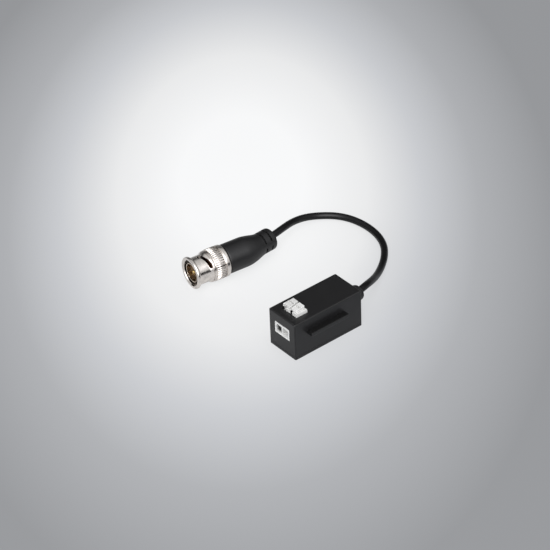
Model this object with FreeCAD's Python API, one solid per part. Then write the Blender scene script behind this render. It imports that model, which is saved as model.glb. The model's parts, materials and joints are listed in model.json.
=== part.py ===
import FreeCAD, Part
import math
import os

# A passive video balun: a small two-part box with a push-in wire terminal, joined by a
# short coaxial cord to a moulded bayonet plug. Millimetres, +Z up, the floor at z = 0.
# The wire entries face -Y, the cord leaves towards +Y, and the origin is at the centre
# of the box's footprint.

V = FreeCAD.Vector

# Clearances
FIT = 0.03        # between pieces that seat in each other
PLAY = 0.1        # between mouldings that clip together
RUNNING = 0.15    # between the turning sleeve and what it turns on

# Turned pieces' rounded corners have this many short flats
ROUND_STEPS = 2

# Housing
BOX_WIDTH = 14.7
BOX_LENGTH = 31.8
BOX_HEIGHT = 15.7
WALL = 1.2
ROOF = 1.3
COVER_THICKNESS = 1.2
EDGE_RADIUS = 0.5

# Interlock on the two long sides
RAIL_REACH = 2.6
RAIL_THICKNESS = 1.5
RAIL_LENGTH = 17.6
RAIL_START = 5.9          # from the front face
RAIL_TOP = 10.7
RAIL_CHAMFER = 0.25

# Bottom cover
LIP_THICKNESS = 0.9
LIP_HEIGHT = 1.2
CLIP_WIDTH = 3.0
CLIP_HEIGHT = 2.9         # above the cover's plate
CLIP_HOOK = 0.25
CLIP_HOOK_HEIGHT = 0.6
CLIP_SPREAD = 8.0         # clips stand this far each side of the middle
POST_RADIUS = 1.0
PEG_RADIUS = 0.6
PEG_HEIGHT = 1.5

# Circuit board
BOARD_THICKNESS = 1.0
BOARD_SIDE_GAP = 0.15     # to the cover's lip
BOARD_LIFT = 2.0          # above the cover's plate
BOARD_END_GAP = 0.4
BOARD_RIB_LENGTH = 0.8
BOARD_RIB_HEIGHT = 5.0
BOARD_RIB_LAP = 0.4       # over the board's edge

# Wire terminal
POLE_PITCH = 3.5
POLES = 2
TERMINAL_WIDTH = 8.0
TERMINAL_DEPTH = 10.9
WINDOW_HEIGHT = 4.9
WINDOW_CENTRE = 9.4       # above the floor
ENTRY_SIZE = 3.0
ENTRY_THROAT = 2.6
ENTRY_FUNNEL_DEPTH = 1.6
CAVITY_WIDTH = 3.0
CAVITY_FLOOR = 0.8
TOWER_START = 3.7         # from the front face
TOWER_LENGTH = 5.05
TOWER_RISE = 1.2          # above the roof
TOWER_WALL = 0.45
NOTCH_DEPTH = 2.2          # down from the tower's top
NOTCH_WIDTH = 1.0
NOTCH_INSET = 0.25         # its edge from the pole's centre
NOTCH_REACH = 1.2          # back into the button and the outer wall
CHEEK_WIDTH = 0.6          # the outer wall beside the left button
CHEEK_RISE = 2.0           # above the roof
WELL_WIDTH = 3.1

# Release buttons
BUTTON_WIDTH = 2.95
BUTTON_RISE_BACK = 2.9    # above the roof
BUTTON_RISE_FRONT = 2.1
BUTTON_TRAVEL = 1.3
BUTTON_TOE = 0.6
BUTTON_TOE_HEIGHT = 0.9
BUTTON_END_GAP = 0.07
BUTTON_SLOT_LENGTH = 2.2
BUTTON_SLOT_WIDTH = 0.55
BUTTON_SLOT_DEPTH = 0.6
BUTTON_EDGE = 0.22

# Contacts and clamp springs
CONTACT_THICKNESS = 0.5
CONTACT_WIDTH = 2.3
CONTACT_BAR = 2.9
SOLDER_PIN_WIDTH = 0.9
SOLDER_PIN_REACH = 0.9    # below the board
SPRING_THICKNESS = 0.3
SPRING_WIDTH = 2.3
SPRING_BEND = 0.7

# Transformer, as shares of the board's free length behind the terminal
CORE_SHARE = 0.207        # outer radius
CORE_HOLE_SHARE = 0.525   # of the outer radius
CORE_PLACE_SHARE = 0.332
CORE_HEIGHT = 4.0
CORE_CHAMFER = 0.3
WIRE_THICKNESS = 0.44
WIRE_GAP = 0.04
TURNS = 5                 # in each winding
WINDING_SWEEP = 120.0     # degrees
WINDING_STARTS = (30.0, 210.0)

# Small parts on the board
DIODE_SHARE = 0.15        # of the free length
DIODE_PLACE_SHARE = 0.682
DIODE_WIDTH = 4.2
DIODE_HEIGHT = 2.2
DIODE_CHAMFER = 0.25
DIODE_LEAD_REACH = 0.4
DIODE_LEAD_WIDTH = 1.8
DIODE_LEAD_HEIGHT = 1.1
CHIP_GAP = 0.3
RESISTOR_SIZE = (1.25, 2.0, 0.5)
CAPACITOR_SIZE = (2.8, 1.1, 0.9)
SOLDER_RADIUS = 1.05
SOLDER_TIP = 0.45
SOLDER_HEIGHT = 0.7

# Cord and its strain relief
CORD_RADIUS = 1.4
CORD_CORE_RADIUS = 0.75
CONDUCTOR_RADIUS = 0.25
BRAID_RADIUS = 0.32
CORD_INSIDE = 1.9         # past the inner face of the back wall
SHEATH_LENGTH = 1.2
CONDUCTOR_SHARE = 0.125   # of the board's free length, to where it meets the board
BRAID_SHARE = 0.07
GLAND_HOLE = 2.3
GLAND_HEIGHT = 7.85
GLAND_FLANGE = 3.0
GLAND_FLANGE_THICKNESS = 0.7
GLAND_COLLAR = 3.6
GLAND_COLLAR_THICKNESS = 1.0
GLAND_TIP = 3.05
GLAND_REACH = 5.5
GLAND_LEAN = 11.0         # degrees towards -X
GLAND_ROUND = 0.3
GLAND_TIP_ROUND = 0.4

# Plug, along its own axis from the mating face
PLUG_PLACE = (-53.7, -16.7)
PLUG_HEADING = 83.7       # degrees from +X
RIM_RADIUS = 6.4
RIM_LENGTH = 1.1
RIM_ROUND = 0.4
BACK_RIM_ROUND = 0.3
NECK_RADIUS = 5.5
NECK_END = 6.3
SHOULDER_RADIUS = 6.1
SHOULDER_END = 7.2
BEAD_RADIUS = 6.25
BEAD_END = 8.1
KNURL_START = 8.5
KNURL_END = 12.5
KNURL_ROOT = 6.05
KNURL_CREST = 6.35
KNURL_COUNT = 44
GROOVE_RADIUS = 5.95
BACK_RIM_START = 12.9
SLEEVE_LENGTH = 14.6
SLEEVE_BORE = 4.9
SLEEVE_MOUTH = 0.3
SLEEVE_FLOOR = 2.0

# Bayonet tracks, angles counted from -X over the top
TRACK_WIDTH = 2.2
TRACK_RADIUS = 5.3
SLIT_WIDTH = 1.3
SLIT_RADIUS = 5.98
ENTRY_ANGLE = 62.0
ENTRY_DEPTH = 3.4
LOCK_ANGLE = 150.0
LOCK_DEPTH = 6.4
LOCK_HOLE_RADIUS = 0.95
TRACK_STEPS = 5

# Fixed pieces of the plug
TUBE_RADIUS = 4.05
TUBE_WALL = 0.5
TUBE_START = 0.6
TUBE_SEAT = 1.6           # how deep the tube stands in the body
TUBE_SLOT_WIDTH = 0.4
TUBE_SLOT_LENGTH = 5.0
BODY_SHOULDER = 4.75
BODY_SHOULDER_START = 8.6
BODY_SHOULDER_END = 11.2
BODY_NECK = 3.6
BODY_TAIL = 4.6
BODY_TAIL_LENGTH = 3.6
CRIMP_NECK = 1.6
CRIMP_END = 23.9
FERRULE_RADIUS = 2.4
FERRULE_WALL = 0.4
INSULATOR_FACE = 5.6
INSULATOR_NOSE = 2.4
INSULATOR_NOSE_LENGTH = 1.0
INSULATOR_END = 12.0
PIN_RADIUS = 0.675
PIN_TIP = 1.3
PIN_END = 14.0
GASKET_LENGTH = 0.65
WASHER_THICKNESS = 0.5
WAVE_THICKNESS = 0.2
WAVE_HEIGHT = 0.2
WAVES = 3
WAVE_SECTIONS = 24
SLEEVE_PLAY = 0.5         # how far the sleeve pulls forward against the wave washer

# Moulded boot
BOOT_RADIUS = 5.9
BOOT_GAP = 0.4            # behind the sleeve
BOOT_STRAIGHT_END = 24.6
BOOT_BEND = 9.5          # degrees
BOOT_BEND_LENGTH = 6.6
BOOT_COLLAR = 4.4
BOOT_COLLAR_LENGTH = 6.0
BOOT_SLOT_DEPTH = 1.3
BOOT_SLOT_WIDTH = 0.75
BOOT_SLOT_PLACES = (0.1, 3.0)
BOOT_WEB = 1.9             # left standing between two slots, on both sides
BOOT_START_ROUND = 0.35
BOOT_END_ROUND = 0.9
CORD_START = 24.0         # the jacket's end inside the boot

# The free cord's route over the floor, from the plug to the box
CORD_ROUTE = [
    (-52.0, 22.8, 6.4),
    (-53.7, 28.9, 5.9),
    (-56.1, 35.2, 4.5),
    (-57.0, 42.3, 2.9),
    (-55.2, 48.6, 1.7),
    (-51.0, 53.7, 1.4),
    (-45.1, 56.7, 1.4),
    (-37.5, 57.8, 1.4),
    (-30.0, 56.9, 1.4),
    (-23.2, 54.0, 1.4),
    (-17.5, 49.0, 1.4),
    (-12.8, 43.0, 1.7),
    (-8.7, 37.0, 3.2),
    (-5.2, 31.6, 5.6),
    (-2.6, 26.6, 7.5),
]

# Places worked out from the sizes
FRONT = -BOX_LENGTH / 2
BACK = BOX_LENGTH / 2
SIDE = BOX_WIDTH / 2
INNER_SIDE = SIDE - WALL
INNER_FRONT = FRONT + WALL
INNER_BACK = BACK - WALL
CEILING = BOX_HEIGHT - ROOF
BOARD_BOTTOM = COVER_THICKNESS + BOARD_LIFT
BOARD_TOP = BOARD_BOTTOM + BOARD_THICKNESS
BOARD_FRONT = INNER_FRONT + BOARD_END_GAP
BOARD_BACK = INNER_BACK - BOARD_END_GAP
BOARD_WIDTH = 2 * (INNER_SIDE - PLAY - LIP_THICKNESS - BOARD_SIDE_GAP)
RIB_START = BOARD_WIDTH / 2 - BOARD_RIB_LAP
POLE_PLACES = [POLE_PITCH * (i - (POLES - 1) / 2) for i in range(POLES)]
TERMINAL_BACK = FRONT + TERMINAL_DEPTH
TERMINAL_TOP = CEILING - 2 * PLAY
TOWER_FRONT = FRONT + TOWER_START
TOWER_BACK = TOWER_FRONT + TOWER_LENGTH
TOWER_TOP = BOX_HEIGHT + TOWER_RISE
WELL_FRONT = TOWER_FRONT + TOWER_WALL
WELL_BACK = TOWER_BACK - TOWER_WALL
ENTRY_TOP = WINDOW_CENTRE + ENTRY_SIZE / 2
CAVITY_TOP = ENTRY_TOP + CONTACT_THICKNESS
CAVITY_BOTTOM = BOARD_TOP + CAVITY_FLOOR
CAVITY_FRONT = INNER_FRONT + ENTRY_FUNNEL_DEPTH
CAVITY_BACK = TERMINAL_BACK - 0.6
TOE_TOP = TERMINAL_TOP - 0.3
CONTACT_BACK = CAVITY_BACK - CONTACT_THICKNESS / 2 - FIT
FREE_LENGTH = BOARD_BACK - TERMINAL_BACK
CORE_OUTER = FREE_LENGTH * CORE_SHARE
CORE_INNER = CORE_OUTER * CORE_HOLE_SHARE
DIODE_LENGTH = FREE_LENGTH * DIODE_SHARE
PLUG_HEIGHT = max(RIM_RADIUS, KNURL_CREST)
SLEEVE_FLOOR_START = SLEEVE_LENGTH - SLEEVE_FLOOR
BOOT_START = SLEEVE_LENGTH + BOOT_GAP
BEND_RADIUS = BOOT_BEND_LENGTH / math.radians(BOOT_BEND)


def block(x, y, z):
    """A box between two values along each axis."""
    return Part.makeBox(x[1] - x[0], y[1] - y[0], z[1] - z[0], V(x[0], y[0], z[0]))


def centred(width, y, z, x=0.0):
    """A box of that width, centred on x."""
    return block((x - width / 2, x + width / 2), y, z)


def rounded(shape, radius, chosen):
    """The shape with a fillet on each straight edge whose middle passes the test."""
    edges = []
    for edge in shape.Edges:
        middle = edge.valueAt((edge.FirstParameter + edge.LastParameter) / 2)
        if chosen(middle, edge):
            edges.append(edge)
    return shape.makeFillet(radius, edges)


def along(edge, axis):
    """Whether a straight edge runs along the axis with that index."""
    direction = edge.tangentAt(edge.FirstParameter)
    return abs(abs(direction[axis]) - 1) < 1e-6


def near(a, b):
    return abs(a - b) < 1e-4


def turned(outline):
    """A solid turned about Y from (station, radius) points, some with a rounding."""
    points = []
    for i, corner in enumerate(outline):
        here = V(corner[1], corner[0], 0)
        if len(corner) < 3:
            points.append(here)
            continue
        before, after = outline[i - 1], outline[(i + 1) % len(outline)]
        first = here + (V(before[1], before[0], 0) - here).normalize() * corner[2]
        last = here + (V(after[1], after[0], 0) - here).normalize() * corner[2]
        for step in range(ROUND_STEPS + 1):
            t = step / ROUND_STEPS
            points.append(first * (1 - t) ** 2 + here * (2 * t * (1 - t)) + last * t ** 2)
    face = Part.Face(Part.makePolygon(points + points[:1]))
    return face.revolve(V(0, 0, 0), V(0, 1, 0), 360)


def ring(start, end, inner, outer):
    """A plain ring about Y."""
    return turned([(start, inner), (start, outer), (end, outer), (end, inner)])


def rod(start, end, radius):
    """A plain cylinder about Y."""
    return Part.makeCylinder(radius, end - start, V(0, start, 0), V(0, 1, 0))


def bent_path(points, radii):
    """A wire of straight runs joined by tangent arcs of the given radii."""
    edges = []
    start = points[0]
    for before, corner, after, radius in zip(points, points[1:], points[2:], radii):
        inward = (corner - before).normalize()
        onward = (after - corner).normalize()
        turn = inward.getAngle(onward)
        reach = radius * math.tan(turn / 2)
        first = corner - inward * reach
        last = corner + onward * reach
        middle_way = (onward - inward).normalize()
        middle = corner + middle_way * (radius / math.cos(turn / 2) - radius)
        edges.append(Part.LineSegment(start, first).toShape())
        edges.append(Part.Arc(first, middle, last).toShape())
        start = last
    edges.append(Part.LineSegment(start, points[-1]).toShape())
    return Part.Wire(edges)


def swept(path, profile):
    """A solid made by a profile that follows a path."""
    return path.makePipeShell([profile], True, False)


def tube(points, radii, radius):
    """A round bar along straight runs and tangent arcs."""
    path = bent_path(points, radii)
    start = Part.Circle(points[0], points[1] - points[0], radius)
    return swept(path, Part.Wire([start.toShape()]))


def strip(points, bend, thickness, width, x):
    """A bent strip of metal whose centre line lies in a YZ plane."""
    places = [V(x, y, z) for y, z in points]
    path = bent_path(places, [bend] * (len(places) - 2))
    ahead = (places[1] - places[0]).normalize()
    across = V(1, 0, 0) * (width / 2)
    up = ahead.cross(V(1, 0, 0)).normalize() * (thickness / 2)
    corners = [places[0] + across + up, places[0] - across + up,
               places[0] - across - up, places[0] + across - up]
    return swept(path, Part.makePolygon(corners + corners[:1]))


def plug_placement():
    """The plug's own frame: Y along its axis from the mating face, Z up."""
    place = V(PLUG_PLACE[0], PLUG_PLACE[1], PLUG_HEIGHT)
    return FreeCAD.Placement(place, FreeCAD.Rotation(V(0, 0, 1), PLUG_HEADING - 90))


def bend_point(angle):
    """A point on the boot's bent centre line, and its direction, in the plug's frame."""
    turn = math.radians(angle)
    x = -BEND_RADIUS * (1 - math.cos(turn))
    y = BOOT_STRAIGHT_END + BEND_RADIUS * math.sin(turn)
    return V(x, y, 0), V(-math.sin(turn), math.cos(turn), 0)


def in_plug(shape):
    """Moves a shape made in the plug's frame to its place."""
    moved = shape.copy()
    moved.Placement = plug_placement().multiply(moved.Placement)
    return moved


def radial_tool(angle, station, inner, outer, width, length):
    """A straight cutter on a radius of the plug, square to the axis."""
    tool = block((inner, outer), (-length / 2, length / 2), (-width / 2, width / 2))
    tool.rotate(V(0, 0, 0), V(0, 1, 0), angle - 180)
    tool.translate(V(0, station, 0))
    return tool


def radial_drill(angle, station, inner, outer, radius):
    """A round cutter on a radius of the plug."""
    tool = Part.makeCylinder(radius, outer - inner, V(inner, 0, 0), V(1, 0, 0))
    tool.rotate(V(0, 0, 0), V(0, 1, 0), angle - 180)
    tool.translate(V(0, station, 0))
    return tool


def housing_shell():
    """Four walls and a roof, open below, with the side rail moulded on."""
    body = centred(BOX_WIDTH, (FRONT, BACK), (COVER_THICKNESS, BOX_HEIGHT))
    body = rounded(body, EDGE_RADIUS, lambda m, e: along(e, 2) or near(m.z, BOX_HEIGHT))
    room = centred(2 * INNER_SIDE, (INNER_FRONT, INNER_BACK), (0, CEILING))
    body = body.cut(room)

    rail_y = (FRONT + RAIL_START, FRONT + RAIL_START + RAIL_LENGTH)
    rail_z = (RAIL_TOP - RAIL_THICKNESS, RAIL_TOP)
    rail = block((SIDE - WALL / 2, SIDE + RAIL_REACH), rail_y, rail_z)
    rail_edge = SIDE + RAIL_REACH
    rail = rail.makeChamfer(RAIL_CHAMFER, [e for e in rail.Edges
                                           if near(e.CenterOfMass.x, rail_edge)])
    body = body.fuse(rail)
    gap = 2 * PLAY
    mouth_y = (rail_y[0] - gap, rail_y[1] + gap)
    mouth_z = (rail_z[0] - gap, rail_z[1] + gap)
    body = body.cut(block((-SIDE - 1, -INNER_SIDE + 1), mouth_y, mouth_z))

    window_z = (WINDOW_CENTRE - WINDOW_HEIGHT / 2, WINDOW_CENTRE + WINDOW_HEIGHT / 2)
    window = centred(TERMINAL_WIDTH + PLAY, (FRONT - 1, INNER_FRONT + 1), window_z)
    hatch = centred(TERMINAL_WIDTH + 2 * PLAY, (TOWER_FRONT - PLAY, TOWER_BACK + PLAY),
                    (CEILING - 1, BOX_HEIGHT + 1))
    cord_hole = Part.makeCylinder(GLAND_HOLE, 3 * WALL, V(0, INNER_BACK - WALL, GLAND_HEIGHT),
                                  V(0, 1, 0))
    body = body.cut(window.fuse([hatch, cord_hole]))

    for y in (TERMINAL_BACK + 2 * BOARD_RIB_LENGTH, BOARD_BACK - 4 * BOARD_RIB_LENGTH):
        for side in (-1, 1):
            x = sorted((side * RIB_START, side * (INNER_SIDE + WALL / 2)))
            z = (BOARD_TOP + FIT, BOARD_TOP + BOARD_RIB_HEIGHT)
            body = body.fuse(block(x, (y - BOARD_RIB_LENGTH / 2, y + BOARD_RIB_LENGTH / 2), z))
    hook_z = COVER_THICKNESS + CLIP_HEIGHT - CLIP_HOOK_HEIGHT
    for y in (-CLIP_SPREAD, CLIP_SPREAD):
        pocket = centred(2 * (INNER_SIDE + CLIP_HOOK + PLAY),
                         (y - CLIP_WIDTH / 2 - PLAY, y + CLIP_WIDTH / 2 + PLAY),
                         (hook_z - PLAY, hook_z + CLIP_HOOK_HEIGHT + PLAY))
        body = body.cut(pocket)
    return body.removeSplitter()


def bottom_cover():
    """The plate that closes the box, with its lip, four clips and the board's posts."""
    plate = centred(BOX_WIDTH, (FRONT, BACK), (0, COVER_THICKNESS))
    plate = rounded(plate, EDGE_RADIUS, lambda m, e: along(e, 2))
    lip_x = INNER_SIDE - PLAY
    lip_z = (COVER_THICKNESS - 0.1, COVER_THICKNESS + LIP_HEIGHT)
    lip = centred(2 * lip_x, (INNER_FRONT + PLAY, INNER_BACK - PLAY), lip_z)
    hollow = centred(2 * (lip_x - LIP_THICKNESS),
                     (INNER_FRONT + PLAY + LIP_THICKNESS, INNER_BACK - PLAY - LIP_THICKNESS),
                     (0, BOX_HEIGHT))
    cover = plate.fuse(lip.cut(hollow))

    clip_top = COVER_THICKNESS + CLIP_HEIGHT
    hook_bottom = clip_top - CLIP_HOOK_HEIGHT
    outline = [V(lip_x - LIP_THICKNESS, 0, COVER_THICKNESS - 0.1), V(lip_x, 0, COVER_THICKNESS - 0.1),
               V(lip_x, 0, hook_bottom), V(lip_x + CLIP_HOOK, 0, hook_bottom),
               V(lip_x, 0, clip_top), V(lip_x - LIP_THICKNESS, 0, clip_top)]
    clip = Part.Face(Part.makePolygon(outline + outline[:1])).extrude(V(0, CLIP_WIDTH, 0))
    for y in (-CLIP_SPREAD, CLIP_SPREAD):
        right = clip.copy()
        right.translate(V(0, y - CLIP_WIDTH / 2, 0))
        left = right.mirror(V(0, 0, 0), V(1, 0, 0))
        cover = cover.fuse([right, left])

    for x, y in post_places():
        post = Part.makeCylinder(POST_RADIUS, BOARD_LIFT + 0.1, V(x, y, COVER_THICKNESS - 0.1))
        peg = Part.makeCylinder(PEG_RADIUS, PEG_HEIGHT, V(x, y, BOARD_BOTTOM - 0.1))
        cover = cover.fuse([post, peg])
    return cover.removeSplitter()


def post_places():
    """Where the cover's posts hold the board, at two opposite corners."""
    x = BOARD_WIDTH / 2 - 1.3
    return [(-x, BOARD_BACK - 1.6), (x, BOARD_BACK - 1.6)]


def circuit_board():
    """The board, with holes for the posts' pegs and the contacts' pins."""
    board = centred(BOARD_WIDTH, (BOARD_FRONT, BOARD_BACK), (BOARD_BOTTOM, BOARD_TOP))
    for x, y in post_places():
        board = board.cut(Part.makeCylinder(PEG_RADIUS + PLAY, 3 * BOARD_THICKNESS,
                                            V(x, y, BOARD_BOTTOM - BOARD_THICKNESS)))
    hole = SOLDER_PIN_WIDTH / 2 + PLAY + 0.1
    for x in POLE_PLACES:
        board = board.cut(Part.makeCylinder(hole, 3 * BOARD_THICKNESS,
                                            V(x, CONTACT_BACK, BOARD_BOTTOM - BOARD_THICKNESS)))
    return board


def terminal_body():
    """The white block: nose in the window, main block on the board, tower through the roof."""
    nose_z = (WINDOW_CENTRE - WINDOW_HEIGHT / 2 + PLAY / 2, WINDOW_CENTRE + WINDOW_HEIGHT / 2 - PLAY / 2)
    nose = centred(TERMINAL_WIDTH, (FRONT, INNER_FRONT + 1), nose_z)
    main = centred(TERMINAL_WIDTH, (INNER_FRONT + PLAY, TERMINAL_BACK), (BOARD_TOP, TERMINAL_TOP))
    tower = centred(TERMINAL_WIDTH, (TOWER_FRONT, TOWER_BACK), (CEILING - 1, TOWER_TOP))
    tower = rounded(tower, BUTTON_EDGE, lambda m, e: near(m.z, TOWER_TOP))
    cheek = block((-TERMINAL_WIDTH / 2, -TERMINAL_WIDTH / 2 + CHEEK_WIDTH),
                  (WELL_FRONT, TOWER_BACK), (CEILING, BOX_HEIGHT + CHEEK_RISE))
    cheek = rounded(cheek, BUTTON_EDGE, lambda m, e: near(m.z, BOX_HEIGHT + CHEEK_RISE))
    body = nose.fuse([main, tower, cheek])

    for x in POLE_PLACES:
        mouth = entry_square(ENTRY_SIZE, FRONT, x)
        throat = entry_square(ENTRY_THROAT, FRONT + ENTRY_FUNNEL_DEPTH, x)
        funnel = Part.makeLoft([mouth, throat], True, True)
        passage = centred(ENTRY_THROAT, (FRONT + ENTRY_FUNNEL_DEPTH - 0.01, CAVITY_FRONT + 0.5),
                          (WINDOW_CENTRE - ENTRY_THROAT / 2, WINDOW_CENTRE + ENTRY_THROAT / 2), x)
        cavity = centred(CAVITY_WIDTH, (CAVITY_FRONT, CAVITY_BACK), (CAVITY_BOTTOM, CAVITY_TOP), x)
        well = centred(WELL_WIDTH, (WELL_FRONT, WELL_BACK), (CAVITY_TOP - 0.1, TOWER_TOP + 1), x)
        catch = centred(WELL_WIDTH, (WELL_BACK - 0.1, WELL_BACK + BUTTON_TOE + PLAY),
                        (TOE_TOP - BUTTON_TOE_HEIGHT - BUTTON_TRAVEL - PLAY, TOE_TOP), x)
        pin_slot = centred(SOLDER_PIN_WIDTH + PLAY,
                           (CONTACT_BACK - CONTACT_THICKNESS / 2 - PLAY / 2,
                            CONTACT_BACK + CONTACT_THICKNESS / 2 + PLAY / 2),
                           (BOARD_TOP - 1, CAVITY_BOTTOM + 1), x)
        notch = block((x - NOTCH_INSET - NOTCH_WIDTH, x - NOTCH_INSET),
                      (TOWER_FRONT - 0.1, WELL_FRONT + 0.1),
                      (TOWER_TOP - NOTCH_DEPTH, TOWER_TOP + 1))
        body = body.cut(funnel.fuse([passage, cavity]))
        body = body.cut(well.fuse([catch, pin_slot, notch]))
    corner = block((-TERMINAL_WIDTH / 2 - 0.1, POLE_PLACES[0] - NOTCH_INSET - NOTCH_WIDTH / 2),
                   (TOWER_FRONT - 0.1, WELL_FRONT + NOTCH_REACH / 2),
                   (BOX_HEIGHT + PLAY, TOWER_TOP + CHEEK_RISE))
    return body.cut(corner).removeSplitter()


def entry_square(size, y, x):
    """A square wire, centred on a pole at the height of the window."""
    half = size / 2
    z = WINDOW_CENTRE
    corners = [V(x - half, y, z - half), V(x + half, y, z - half),
               V(x + half, y, z + half), V(x - half, y, z + half)]
    return Part.makePolygon(corners + corners[:1])


def release_button(x):
    """A push button with a sloping top, a driver slot, a foot and a catch behind."""
    front = WELL_FRONT + BUTTON_END_GAP
    back = WELL_BACK - BUTTON_END_GAP
    middle = (front + back) / 2
    stem = CAVITY_TOP + BUTTON_TRAVEL + 2 * PLAY
    foot = ENTRY_TOP + PLAY
    toe_back = WELL_BACK + BUTTON_TOE
    toe_top = TOE_TOP - FIT
    outline = [(front, foot), (middle, foot), (middle, stem), (back, stem),
               (back, toe_top - BUTTON_TOE_HEIGHT), (toe_back, toe_top - BUTTON_TOE_HEIGHT),
               (toe_back, toe_top), (back, toe_top),
               (back, BOX_HEIGHT + BUTTON_RISE_BACK), (front, BOX_HEIGHT + BUTTON_RISE_FRONT)]
    points = [V(x - BUTTON_WIDTH / 2, y, z) for y, z in outline]
    button = Part.Face(Part.makePolygon(points + points[:1])).extrude(V(BUTTON_WIDTH, 0, 0))
    button = rounded(button, BUTTON_EDGE, lambda m, e: m.z > BOX_HEIGHT + TOWER_RISE)
    slope_middle = BOX_HEIGHT + (BUTTON_RISE_BACK + BUTTON_RISE_FRONT) / 2
    slot = centred(BUTTON_SLOT_LENGTH, (middle - BUTTON_SLOT_WIDTH / 2, middle + BUTTON_SLOT_WIDTH / 2),
                   (slope_middle - BUTTON_SLOT_DEPTH, slope_middle + 1), x)
    undercut = block((x - BUTTON_WIDTH / 2 - 0.1, x - NOTCH_INSET),
                     (front - 0.1, front + NOTCH_REACH), (TOWER_TOP - NOTCH_DEPTH, TOWER_TOP))
    return button.cut(slot.fuse(undercut))


def clamp_spring(x):
    """A bent leaf: a leg on the floor, a bend in front, and a free leg up to the contact."""
    floor = CAVITY_BOTTOM + SPRING_THICKNESS / 2 + FIT
    front = CAVITY_FRONT + SPRING_BEND + 0.2
    tip = ENTRY_TOP - CONTACT_THICKNESS / 2 - SPRING_THICKNESS
    bar_front = CONTACT_BACK - CONTACT_BAR
    knee = (floor + tip) / 2
    points = [(CONTACT_BACK - CONTACT_THICKNESS - 0.1, floor), (front, floor),
              ((front + bar_front) / 2, knee), (bar_front + 0.4, tip), (bar_front + 1.2, tip - 0.35)]
    return strip(points, SPRING_BEND / 2, SPRING_THICKNESS, SPRING_WIDTH, x)


def contact(x):
    """The current bar under the roof of the cavity, its rear leg and its solder pin."""
    bar = ENTRY_TOP + CONTACT_THICKNESS / 2 - FIT
    points = [(CONTACT_BACK - CONTACT_BAR, bar), (CONTACT_BACK, bar), (CONTACT_BACK, CAVITY_BOTTOM + FIT)]
    leg = strip(points, CONTACT_THICKNESS, CONTACT_THICKNESS, CONTACT_WIDTH, x)
    pin = centred(SOLDER_PIN_WIDTH,
                  (CONTACT_BACK - CONTACT_THICKNESS / 2, CONTACT_BACK + CONTACT_THICKNESS / 2),
                  (BOARD_BOTTOM - SOLDER_PIN_REACH, CAVITY_BOTTOM + 0.5), x)
    return leg.fuse(pin).removeSplitter()


def core_middle():
    """The toroid's centre."""
    z = BOARD_TOP + WIRE_THICKNESS + 2 * WIRE_GAP + CORE_HEIGHT / 2
    return V(0, TERMINAL_BACK + FREE_LENGTH * CORE_PLACE_SHARE, z)


def transformer_core():
    """A ferrite toroid, lying flat."""
    low = Part.makeCylinder(CORE_OUTER, CORE_HEIGHT, V(0, 0, -CORE_HEIGHT / 2))
    core = low.cut(Part.makeCylinder(CORE_INNER, 2 * CORE_HEIGHT, V(0, 0, -CORE_HEIGHT)))
    circles = [e for e in core.Edges if isinstance(e.Curve, Part.Circle)]
    core = core.makeChamfer(CORE_CHAMFER, circles)
    core.translate(core_middle())
    return core


def winding(start):
    """Turns of wire about one side of the toroid, and the two ends to the board."""
    near_r = CORE_INNER - WIRE_GAP
    far_r = CORE_OUTER + WIRE_GAP
    half = CORE_HEIGHT / 2 + WIRE_GAP
    wire = WIRE_THICKNESS
    y = (-wire / 2, wire / 2)
    loop = block((near_r - wire, far_r + wire), y, (-half - wire, half + wire))
    loop = loop.cut(block((near_r, far_r), (-wire, wire), (-half, half)))
    turns = []
    for i in range(TURNS):
        turn = loop.copy()
        turn.rotate(V(0, 0, 0), V(0, 0, 1), start + WINDING_SWEEP * i / (TURNS - 1))
        turn.translate(core_middle())
        turns.append(turn)
    for angle in (start, start + WINDING_SWEEP):
        end = block((far_r + wire + FIT, far_r + 2 * wire + FIT), y, (BOARD_TOP, core_middle().z))
        end.rotate(V(0, 0, 0), V(0, 0, 1), angle)
        end.translate(V(core_middle().x, core_middle().y, 0))
        turns.append(end)
    return Part.makeCompound(turns)


def surge_diode():
    """A moulded two-lead suppressor on the board."""
    middle = TERMINAL_BACK + FREE_LENGTH * DIODE_PLACE_SHARE
    top = BOARD_TOP + DIODE_HEIGHT
    body = centred(DIODE_WIDTH, (middle - DIODE_LENGTH / 2, middle + DIODE_LENGTH / 2),
                   (BOARD_TOP + PLAY, top))
    body = body.makeChamfer(DIODE_CHAMFER, [e for e in body.Edges if near(e.CenterOfMass.z, top)])
    leads = centred(DIODE_WIDTH + 2 * DIODE_LEAD_REACH,
                    (middle - DIODE_LEAD_WIDTH / 2, middle + DIODE_LEAD_WIDTH / 2),
                    (BOARD_TOP, BOARD_TOP + DIODE_LEAD_HEIGHT))
    return body.fuse(leads).removeSplitter()


def chips(x_places, size):
    """Small square parts soldered flat on the board, behind the terminal."""
    width, depth, height = size
    y = (TERMINAL_BACK + CHIP_GAP, TERMINAL_BACK + CHIP_GAP + depth)
    z = (BOARD_TOP, BOARD_TOP + height)
    return Part.makeCompound([centred(width, y, z, x) for x in x_places])


def resistor_places():
    """Each side of the board, clear of the housing's ribs."""
    x = RIB_START - CHIP_GAP - RESISTOR_SIZE[0] / 2
    return [-x, x]


def solder_joints():
    """Fillets of solder under the board, round the contacts' pins."""
    joints = []
    half = CONTACT_THICKNESS / 2
    for x in POLE_PLACES:
        cone = Part.makeCone(SOLDER_TIP, SOLDER_RADIUS, SOLDER_HEIGHT,
                             V(x, CONTACT_BACK, BOARD_BOTTOM - SOLDER_HEIGHT))
        slot = centred(SOLDER_PIN_WIDTH, (CONTACT_BACK - half, CONTACT_BACK + half), (0, BOARD_TOP), x)
        joints.append(cone.cut(slot))
    return Part.makeCompound(joints)


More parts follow.
